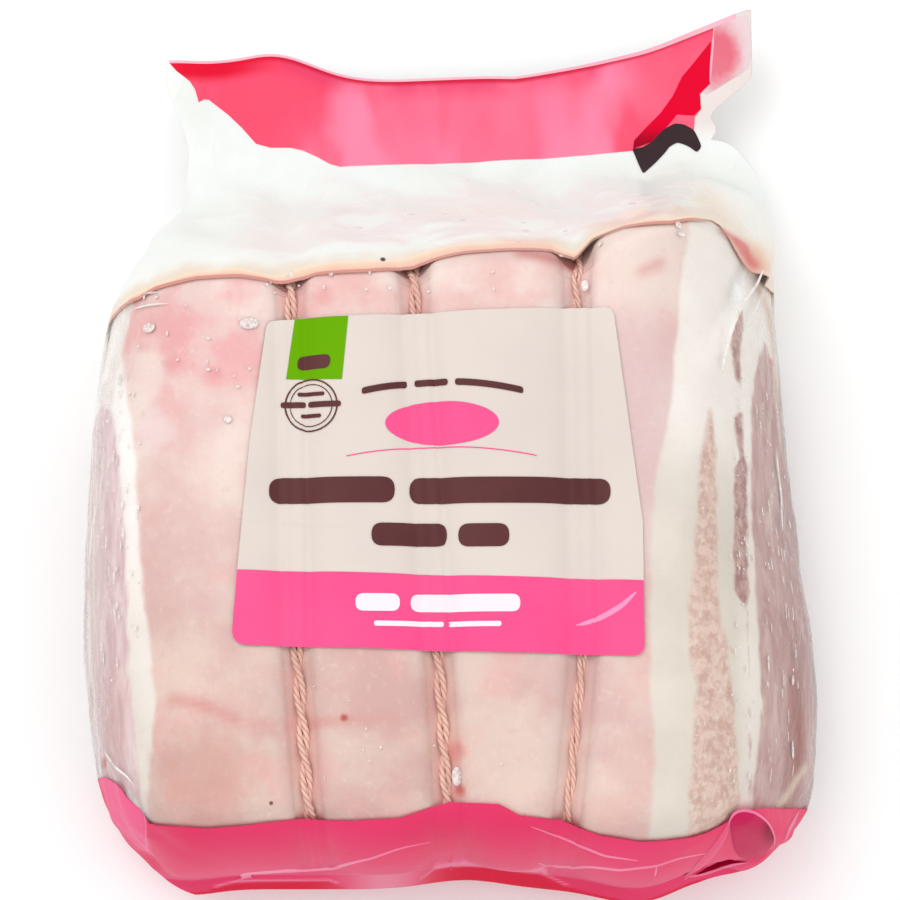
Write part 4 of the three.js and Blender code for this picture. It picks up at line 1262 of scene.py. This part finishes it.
BAND_FRONT = ((-97.0, -89.5), (-88.0, -91.5), (-85.6, -92.9), (-83.2, -94.6), (-81.5, -97.3), (-78.8, -99.6),
              (-76.7, -101.4), (-75.9, -104.0), (-72.8, -104.7), (-60.4, -105.9), (-49.8, -105.2), (-37.3, -103.6), (-24.7, -104.3), (-12.3, -103.6), (-4.9, -101.0), (0.0, -99.6),
              (12.3, -100.3), (17.2, -103.0), (27.3, -103.9), (37.1, -107.6), (47.1, -109.1), (53.5, -108.7),
              (60.1, -107.7), (64.1, -106.5), (67.4, -104.9), (70.0, -103.3), (71.9, -101.6), (75.5, -100.6),
              (80.4, -99.8), (86.9, -98.9), (93.4, -98.0), (98.0, -97.5))
# How much of the seam flap shows its deep inner colour, as (x, share of the flap)
FLAP_SHOWS = ((-92, 0.3), (-66, 0.15), (-57, 0.5), (-32, 0.55), (-27, 0.1), (-9, 0.1), (-4, 0.9), (24, 1.0), (31, 0.3),
              (50, 0.12), (62, 0.2), (72, 0.15), (92, 0.1))
BAND_BACK = ((-97.0, -90.5), (-86.0, -94.0), (-60.0, -101.0), (60.0, -101.0), (86.0, -98.0), (97.0, -96.0))


def foot_band(turns):
    """The row, for each column of the bag, at which the printed band ends."""
    rows = np.linspace(0.0, 2.3, 300)
    grid = centred(bag_surface(rows[:, None], turns[None, :]))
    ends = []
    for column, turn in enumerate(turns):
        p = grid[:, column]
        past = p[:, 1] - along(BAND_FRONT if turn <= 3 else BAND_BACK, p[:, 0])
        first = int(np.argmax(past > 0))
        ends.append(np.interp(0, past[first - 1:first + 1], rows[first - 1:first + 1]))
    return np.array(ends)


def foot_shade(nodes, ink):
    """The ink is deeper where the film is doubled, and paler where it lies slack on nothing; the lit facet and the
    rolled edge get painted light.
    """
    ink = nodes.mix(nodes.math("MULTIPLY", nodes.attribute("slack"), 0.35), ink, tone(211, 76, 122))
    # painted light: the facet at the bottom left corner is the same ink, lit more
    ink = nodes.mix(nodes.math("MULTIPLY", nodes.attribute("facet"), 0.6), ink, tone(238, 104, 152))
    # painted highlight along the rolled lower edge of the band
    ink = nodes.mix(nodes.math("MULTIPLY", nodes.attribute("rolled_edge_highlight"), 0.6), ink, tone(236, 150, 178))
    ink = nodes.mix(nodes.math("MULTIPLY", nodes.attribute("flap"), 0.95), ink, tone(206, 10, 52))
    return nodes.mix(nodes.math("MULTIPLY", nodes.attribute("pale_flap"), 0.9), ink, tone(223, 136, 158))


def pocket_shade(nodes, ink):
    """Painted shade: the mouth of the pocket is darkest under its arched edge."""
    deep = use_group(nodes, round_spot, Centre_X=0.0818, Centre_Y=-0.1052, Radius=0.0042, Core=0.2)
    return nodes.mix(deep["Mask"], ink, tone(140, 10, 50))


band_ink = print_finish("Band print", tone(220, 54, 102), tone(212, 46, 90), shade=foot_shade)
# painted shade: the pocket under the curled lip is a darker ink
pocket_shaded_ink = print_finish("Pocket print in painted shade", tone(184, 26, 76), tone(191, 34, 86), shade=pocket_shade, gloss=0.1)
# painted shadow: a dark sheet for the shaded opening of the seam
gap_shadow_ink = print_finish("Painted shadow in the seam gap", tone(128, 0, 28), tone(140, 4, 32), rough=0.9, gloss=0.0)
ridge_ink = print_finish("Folded band print", tone(224, 92, 126), tone(216, 80, 116), gloss=0.1)
# painted highlight: a light pink for the raised curls and folds of the band
fold_highlight_ink = print_finish("Painted highlight on rolled edges and folds", tone(232, 126, 158), tone(224, 100, 140), rough=0.3)
band_ends = foot_band(film_turns)
band_rows = np.append(film_rows[film_rows < band_ends.max()], band_ends.max())
band_row_grid = np.minimum(band_rows[:, None], band_ends[None, :])
band_grid = centred(bag_surface(band_row_grid, film_turns[None, :], 0.15))
band = make_piece("foot_band", band_grid, closed_loft(band_grid, film_turns, FRONT_COLUMNS), band_ink)
flap_share = along(FLAP_SHOWS, band_grid[..., 0])
store(band, "flap", ease(flap_share - band_row_grid, -0.04, 0.06))
# where the painted highlight of the rolled edge lies
store(band, "rolled_edge_highlight", bell(band_row_grid, flap_share + 0.12, 0.07) * (flap_share > 0.3))
store(band, "slack", ease(1.42 - band_row_grid, 0, 0.3) * (band_row_grid > 1))
store(band, "pale_flap", bell(band_grid[..., 0], -17, 10) * ease(1.1 - band_row_grid, 0, 0.1))
# where painted light falls on the bottom left facet
store(band, "facet", ease(-band_grid[..., 0], 75.5, 77.5) * ease(band_grid[..., 2], 22, 44))
merge_points(band)

POCKET = [(71.3, -107.0), (70.0, -103.3), (70.6, -102.1), (71.9, -101.2), (73.5, -101.1), (75.2, -101.3), (77.7, -102.2),
          (80.1, -103.6), (81.9, -105.5), (82.9, -107.0), (82.9, -108.0), (82.2, -109.4), (80.4, -110.6),
          (78.0, -111.1), (74.4, -111.0), (72.7, -109.7)]
# outline of the painted shadow in the seam gap
GAP = [(64.5, -114.9), (66.8, -113.6), (68.6, -112.6), (72.0, -111.8), (75.0, -111.6), (78.0, -111.9), (74.0, -112.2),
       (71.2, -112.9), (67.5, -114.4)]
printed("foot_pocket", [rounded(POCKET, 0.8)], pocket_shaded_ink, lift=0.45, spacing=0.8)
printed("foot_gap_shadow", [rounded(GAP, 0.3)], gap_shadow_ink, lift=0.34, spacing=0.8)
# raised curls with a painted highlight
folds("foot_curl", [[(69.6, -105.6), (69.9, -103.4), (70.6, -101.9), (72.0, -101.0), (73.6, -100.9), (75.3, -101.1),
                     (77.9, -102.0), (80.3, -103.4), (82.1, -105.2), (83.3, -106.9), (84.0, -108.4)],
                    [(62.8, -115.5), (67.5, -114.5), (71.4, -113.1), (74.7, -112.3), (78.1, -111.9)],
                    [(90.9, -99.0), (89.2, -101.8), (86.8, -104.9), (86.4, -107.1)]],
      0.4, 0.45, fold_highlight_ink, "print_pink", lift=0.2)
folds("foot_ridge", [[(61.6, -116.2), (63.6, -113.6), (66.4, -110.8), (68.6, -107.7), (70.1, -103.8)]], 1.1, 0.7, ridge_ink,
      "print_pink", lift=0.2)
# raised folds with a painted highlight
folds("foot_folds", [[(-58.2, -116.9), (-53.1, -115.7), (-44.6, -115.2), (-38.9, -114.5), (-26.8, -113.9),
                      (-19.6, -112.7), (-12.5, -110.5), (-5.0, -108.9)],
                     [(22.3, -113.4), (35.5, -114.5), (42.8, -115.5), (51.9, -114.5), (57.4, -112.6), (65.3, -110.9)],
                     [(20.0, -105.6), (28.4, -108.1), (38.5, -112.3), (47.0, -113.4)],
                     [(51.9, -114.5), (52.0, -116.7)],
                     [(-76.7, -101.6), (-76.1, -103.8), (-77.0, -108.4), (-78.2, -110.3)]],
      0.26, 0.18, fold_highlight_ink, "print_pink", lift=0.15)
ridge_lines = [[(loop_x(loop, y) + SHIFT[0], y + SHIFT[1]) for y in (-104.5, -108.0, -112.0, -115.0)] for loop in LOOPS[:2]]
folds("foot_ridges", ridge_lines, 1.0, 0.35, band_ink, "print_pink", lift=0.12)


# The printed band on the collar

def lip_width(x):
    """How much of the back layer shows past the front layer at the open edge."""
    return 0.75 + 0.7 * ease(x, 20, 75)


def collar_line(x0, x1, lips, count=40):
    """The collar's open edge, inset by a number of lip widths."""
    return [(x, float(collar_edge(np.array(x - SHIFT[0]))) + SHIFT[1] - lips * float(lip_width(x)))
            for x in np.linspace(x0, x1, count)]


def collar_shade(nodes, ink):
    """Deep red in the shade of the open edge and at the left tip, and wavy where the layers part."""
    where = nodes.add("ShaderNodeSeparateXYZ", {0: nodes.place()}).outputs
    below = nodes.attribute("below")
    wave = nodes.noise(34.0, 2.0, nodes.place((1.0, 0.22, 1.0)), distortion=0.5)
    narrow = nodes.noise(85.0, 2.0, nodes.place((1.0, 0.16, 1.0)), distortion=0.4)
    middle = nodes.math("ABSOLUTE", nodes.math("SUBTRACT", where["X"], 0.004))
    worn = nodes.step(middle, 0.012, 0.036, 0.45, 1.0)
    ink = nodes.mix(nodes.math("MULTIPLY", nodes.step(wave, 0.44, 0.6, 0.0, 0.8), worn), ink, tone(240, 70, 100))
    ink = nodes.mix(nodes.math("MULTIPLY", nodes.step(narrow, 0.5, 0.68, 0.0, 0.5), worn), ink, tone(238, 64, 96))
    ink = nodes.mix(nodes.step(where["X"], -0.024, -0.040, 0.0, 0.45), ink, tone(238, 60, 92))
    ink = nodes.mix(nodes.step(where["X"], 0.043, 0.056, 0.0, 0.6), ink, tone(236, 72, 98))
    shade = nodes.math("MULTIPLY", nodes.step(below, 1.5, 9.0, 1.0, 0.0), nodes.step(narrow, 0.36, 0.6, 0.2, 0.7))
    ink = nodes.mix(shade, ink, tone(214, 56, 100))
    ink = nodes.mix(nodes.step(below, 1.2, 2.8, 0.9, 0.0), ink, tone(200, 6, 50))
    tip = nodes.math("MULTIPLY", nodes.step(where["X"], -0.040, -0.064), nodes.step(below, 3.5, 7.5, 1.0, 0.0))
    return nodes.mix(tip, ink, tone(220, 2, 46))


def ear_shade(nodes, ink):
    """The ear's ink dies out in fine scales towards its open corner."""
    scales = nodes.noise(190.0, 4.0, roughness=0.7)
    worn = nodes.math("ADD", nodes.attribute("worn"), nodes.math("MULTIPLY", nodes.math("SUBTRACT", scales, 0.5), 0.7))
    return nodes.mix(nodes.step(worn, 0.1, 1.0), ink, tone(222, 200, 204))


def mark_below(piece):
    """Keeps on a collar piece how far, in millimetres, each point lies below the open edge."""
    points = vertices_mm(piece)
    edge = collar_edge(points[:, 0] - SHIFT[0]) + SHIFT[1]
    store(piece, "below", edge - points[:, 1])




def fold_shade(nodes, ink):
    """Painted shade: the fold is darkest at its lower end, under the front layer."""
    where = nodes.add("ShaderNodeSeparateXYZ", {0: nodes.place()}).outputs
    return nodes.mix(nodes.step(where["Y"], 0.091, 0.084, 0.0, 0.9), ink, tone(146, 4, 34))


collar_ink = print_finish("Collar print", tone(246, 117, 150), tone(247, 130, 161), shade=collar_shade)
fold_ink = print_finish("Collar fold print", tone(214, 0, 42), tone(220, 0, 46), gloss=0.06,
                         shade=fold_shade)
ear_ink = print_finish("Ear print", tone(214, 98, 116), tone(222, 122, 138), shade=ear_shade, gloss=0.1)
lip_ink = print_finish("Collar lip", tone(238, 182, 194), tone(234, 164, 182), rough=0.35)
TIP_X = -77.4  # where the collar's print runs out in a point at the left
COLLAR_FOOT = [(-75.3, 104.7), (-71.7, 102.0), (-70.3, 99.8), (-69.2, 96.2), (-67.8, 97.1), (-66.5, 97.1),
               (-61.3, 93.1), (-57.3, 89.1), (-53.3, 84.3), (-49.3, 83.1), (-43.7, 83.1), (-40.4, 82.3),
               (-35.8, 80.0), (-32.9, 78.2), (-30.1, 77.3), (-17.8, 78.0), (-5.5, 78.0), (11.0, 79.1),
               (24.7, 79.7), (38.4, 80.9), (50.0, 82.2)]
COLLAR_SIDE = [(67.1, 88.1), (67.5, 92.2), (69.2, 94.5), (69.0, 98.9), (71.8, 101.6), (72.4, 109.0)]
collar_outline = (COLLAR_FOOT + [(55.5, 84.6), (62.0, 88.6)] + COLLAR_SIDE
                  + collar_line(72.9, TIP_X, 1))
mark_below(printed("collar_band", [collar_outline], collar_ink, lift=0.1))
FOLD = [(72.3, 114.0), (71.8, 101.6), (69.0, 98.9), (69.2, 94.5), (67.2, 92.6), (62.6, 93.1), (59.8, 89.5), (55.5, 84.9),
        (50.3, 82.8), (50.6, 85.3), (53.4, 88.6), (58.2, 93.8), (61.6, 98.7), (64.2, 104.2), (67.5, 108.1)]
printed("collar_fold", [FOLD], fold_ink, lift=0.16)
EAR = ([(73.0, 116.2), (72.5, 112.9), (71.9, 109.5), (70.7, 104.3), (69.6, 99.7), (70.6, 98.8), (73.4, 100.1),
        (75.6, 101.5), (77.8, 102.8), (80.0, 104.1), (82.2, 106.1), (83.1, 111.4), (82.8, 116.4)]
       + collar_line(82.0, 73.2, 1, 12))
ear = printed("collar_ear", [EAR], ear_ink, lift=0.12)
ear_points = vertices_mm(ear)
store(ear, "worn", ease(np.hypot((ear_points[:, 0] - 74.0) / 10.0, (ear_points[:, 1] - 109.5) / 15.0), 0.15, 1.0))
lip_outline = collar_line(TIP_X, 79.0, 0.05, 80) + collar_line(79.0, TIP_X, 1.1, 80)
printed("collar_lip", [lip_outline], lip_ink, lift=0.12, spacing=1.0)
folds("ear_fold", [[(73.0, 116.0), (72.7, 112.8), (72.3, 108.6), (72.0, 105.0), (71.8, 102.0)]], 0.35, 0.3, lip_ink, "print_pink")
PATCH = [(50.0, 82.8), (52.7, 83.1), (55.5, 84.9), (58.7, 88.6), (62.0, 90.5), (64.5, 90.1), (67.1, 88.4), (68.2, 86.0),
         (69.1, 83.4), (67.8, 81.6), (65.9, 83.2), (64.3, 84.1), (62.4, 84.7), (60.2, 83.3), (59.0, 81.5),
         (55.9, 78.0), (52.8, 74.9)]
printed("collar_patch", [rounded(PATCH, 0.8)], black, lift=0.2)


# Folds of the clear film with painted highlights, and the drops and air bubbles caught under it, which also stand for
# painted glints

def bright_film_finish():
    """A sharp fold of clear film; the light it catches is painted in as a whitish colour."""
    finish, nodes = new_finish("Film fold with painted highlight")
    cloud = nodes.noise(240.0, 2.0)
    tint = nodes.mix(nodes.step(cloud, 0.35, 0.65), tone(226, 221, 214), tone(238, 234, 230))
    skin = nodes.add("ShaderNodeBsdfPrincipled", {"Base Color": tint, "Roughness": 0.25, "IOR": 1.45})
    clear = nodes.add("ShaderNodeBsdfTransparent", {"Color": (1, 1, 1, 1)})
    cover = nodes.step(nodes.noise(160.0, 2.0), 0.25, 0.6, 0.35, 0.95)
    both = nodes.add("ShaderNodeMixShader", {0: cover, 1: clear.outputs[0], 2: skin.outputs[0]})
    show(nodes, both.outputs[0])
    return finish


film_fold_highlight = bright_film_finish()
folds("film_web", [[(70.0, 12.0), (71.0, 16.5), (72.1, 21.0), (73.6, 25.3), (76.7, 31.6), (80.4, 36.9), (82.9, 42.8)]],
      0.5, 0.6, film_fold_highlight, "clear_film", lift=0.05)
folds("film_creases", [[(-88.0, -85.5), (-84.5, -90.0), (-81.0, -92.5), (-79.5, -94.5)],
                       [(-81.0, 27.5), (-77.0, 27.6), (-72.0, 27.2)], [(-79.0, 31.0), (-75.0, 30.6)],
                       [(86.5, -5.0), (87.8, -16.0), (87.4, -26.0)]],
      0.3, 0.2, film_fold_highlight, "clear_film", lift=0.02)


def bubble_tree(material):
    """A flat bubble on each point, of that point's own size and turn."""
    tree = bpy.data.node_groups.new("Caught bubbles", "GeometryNodeTree")
    tree.interface.new_socket("Geometry", in_out="INPUT", socket_type="NodeSocketGeometry")
    tree.interface.new_socket("Size", in_out="INPUT", socket_type="NodeSocketFloat").default_value = 1.0
    tree.interface.new_socket("Geometry", in_out="OUTPUT", socket_type="NodeSocketGeometry")
    nodes = Nodes(tree)
    given = nodes.add("NodeGroupInput").outputs
    ball = nodes.add("GeometryNodeMeshUVSphere", {"Segments": 10, "Rings": 6, "Radius": 1.0}).outputs[0]
    span = nodes.add("GeometryNodeInputNamedAttribute", {"Name": "span"}, data_type="FLOAT_VECTOR").outputs[0]
    turn = nodes.add("GeometryNodeInputNamedAttribute", {"Name": "turn"}, data_type="FLOAT_VECTOR").outputs[0]
    scale = nodes.add("ShaderNodeVectorMath", {0: span, "Scale": given["Size"]}, operation="SCALE").outputs[0]
    placed = nodes.add("GeometryNodeInstanceOnPoints", {"Points": given["Geometry"], "Instance": ball,
                                                        "Rotation": turn, "Scale": scale}).outputs[0]
    real = nodes.add("GeometryNodeRealizeInstances", {"Geometry": placed}).outputs[0]
    smooth = nodes.add("GeometryNodeSetShadeSmooth", {"Geometry": real}).outputs[0]
    done = nodes.add("GeometryNodeSetMaterial", {"Geometry": smooth, "Material": material}).outputs[0]
    nodes.add("NodeGroupOutput", {"Geometry": done})
    return tree


def bubble_finish():
    """Air and froth caught under the film: pale, wet and half clear; the pale colour is also a painted highlight for
    small glints.
    """
    finish, nodes = new_finish("Caught air and painted glints")
    froth = nodes.noise(900.0, 2.0)
    tint = nodes.mix(nodes.step(froth, 0.3, 0.7), tone(236, 224, 220), tone(246, 240, 236))
    skin = nodes.add("ShaderNodeBsdfPrincipled", {"Base Color": tint, "Roughness": 0.2, "IOR": 1.4})
    clear = nodes.add("ShaderNodeBsdfTransparent", {"Color": (1, 1, 1, 1)})
    cover = nodes.step(froth, 0.2, 0.7, 0.25, 0.7)
    both = nodes.add("ShaderNodeMixShader", {0: cover, 1: clear.outputs[0], 2: skin.outputs[0]})
    show(nodes, both.outputs[0])
    return finish


# Fields that hold bubbles: x from and to, y from and to, how many, widest, longest
BUBBLE_FIELDS = (
    (-84, -50, 4, 30, 22, 0.7, 1.0), (-84, -77, -60, 4, 20, 0.5, 1.4), (-93, -84, -80, 18, 70, 0.45, 2.2),
    (70, 78, -95, -30, 26, 0.5, 1.2), (73, 77, -40, 12, 26, 0.45, 0.9), (80, 92, -92, 10, 60, 0.5, 2.4),
    (-48, 30, 28, 36, 14, 0.6, 0.8), (-70, 60, 42, 62, 16, 1.6, 2.0), (-60, 40, -98, -66, 12, 0.4, 0.5),
)
# Single larger bubbles: x, y, half width, half length
LARGE_BUBBLES = ((-77.0, 21.5, 2.1, 1.4), (-50.9, 21.0, 2.6, 0.7), (-56.0, -3.6, 1.1, 1.1), (1.7, -93.4, 1.4, 2.6),
                 (-40.6, 34.5, 1.4, 1.3), (90.2, -58.0, 0.6, 2.4), (89.0, -66.0, 0.7, 1.5), (88.6, -84.0, 0.9, 2.6),
                 (-88.5, -62.0, 0.7, 2.2), (28.6, 39.6, 1.0, 0.6), (34.2, 31.0, 1.0, 1.6), (0.6, 18.0, 0.5, 0.5))


def bubble_points():
    chance = np.random.default_rng(11)
    spots = []
    for x0, x1, y0, y1, count, wide, long in BUBBLE_FIELDS:
        for _ in range(count):
            spots.append((chance.uniform(x0, x1), chance.uniform(y0, y1),
                          wide * chance.uniform(0.35, 1), long * chance.uniform(0.3, 1) ** 2))
    spots += LARGE_BUBBLES
    places, spans, turns = [], [], []
    for x, y, wide, long in spots:
        spot, normal, _, _ = film_tree.ray_cast(Vector((x, y, SKY)), Vector((0, 0, -1)))
        if spot is None or normal.z < 0.12:
            continue
        along_y = (Vector((0, 1, 0)) - normal * normal.y).normalized()
        across = along_y.cross(normal)
        axes = Matrix((across, along_y, normal)).transposed()
        places.append(tuple(spot - normal * 0.04))
        spans.append((wide * MM, max(long, wide * 0.6) * MM, 0.12 * MM))
        turns.append(tuple(axes.to_euler()))
    return places, spans, turns


places, spans, turns = bubble_points()
air = bubble_finish()
run_tree("caught_bubbles_and_glints", places, [], bubble_tree(air), air, {"Size": 1.0},
         {"span": spans, "turn": turns})


# Camera, floor and light

TARGET = Vector((0.0, -0.004, 0.035))
ELEVATION = math.radians(80)
DISTANCE = 0.85
FRAME_WIDTH = 0.2385  # what the picture takes in at the target
SENSOR = 36.0

camera_data = bpy.data.cameras.new("camera")
camera_data.sensor_width = SENSOR
camera_data.lens = SENSOR * DISTANCE / FRAME_WIDTH
camera = bpy.data.objects.new("camera", camera_data)
back = Vector((0, -math.cos(ELEVATION), math.sin(ELEVATION)))
camera.location = TARGET + back * DISTANCE
camera.rotation_euler = back.to_track_quat("Z", "Y").to_euler()
bpy.context.scene.collection.objects.link(camera)
bpy.context.scene.camera = camera


def floor_finish():
    finish, nodes = new_finish("Pale floor")
    body = nodes.add("ShaderNodeBsdfPrincipled", {"Base Color": (0.93, 0.93, 0.93, 1), "Roughness": 0.9})
    show(nodes, body.outputs[0])
    return finish


FLOOR_HALF = 3.0
floor_mesh = bpy.data.meshes.new("floor")
floor_mesh.from_pydata([(-FLOOR_HALF, -FLOOR_HALF, 0), (FLOOR_HALF, -FLOOR_HALF, 0),
                        (FLOOR_HALF, FLOOR_HALF, 0), (-FLOOR_HALF, FLOOR_HALF, 0)], [], [(0, 1, 2, 3)])
floor_mesh.materials.append(floor_finish())
floor = bpy.data.objects.new("floor", floor_mesh)
bpy.context.scene.collection.objects.link(floor)


def soft_light(name, place, aim, size, power):
    data = bpy.data.lights.new(name, "AREA")
    data.shape = "DISK"
    data.size = size
    data.energy = power
    lamp = bpy.data.objects.new(name, data)
    lamp.location = place
    lamp.rotation_euler = (Vector(place) - Vector(aim)).to_track_quat("Z", "Y").to_euler()
    bpy.context.scene.collection.objects.link(lamp)


world = bpy.data.worlds.new("studio")
world.use_nodes = True
world.node_tree.nodes["Background"].inputs["Color"].default_value = (1, 1, 1, 1)
world.node_tree.nodes["Background"].inputs["Strength"].default_value = 0.96
bpy.context.scene.world = world
soft_light("key", (-0.5, 0.35, 1.15), (0, 0, 0.03), 0.9, 4.4)
soft_light("fill", (0.7, -0.5, 1.0), (0, 0, 0.03), 0.9, 2.0)
bpy.context.scene.view_settings.view_transform = "Standard"
bpy.context.scene.view_settings.look = "None"
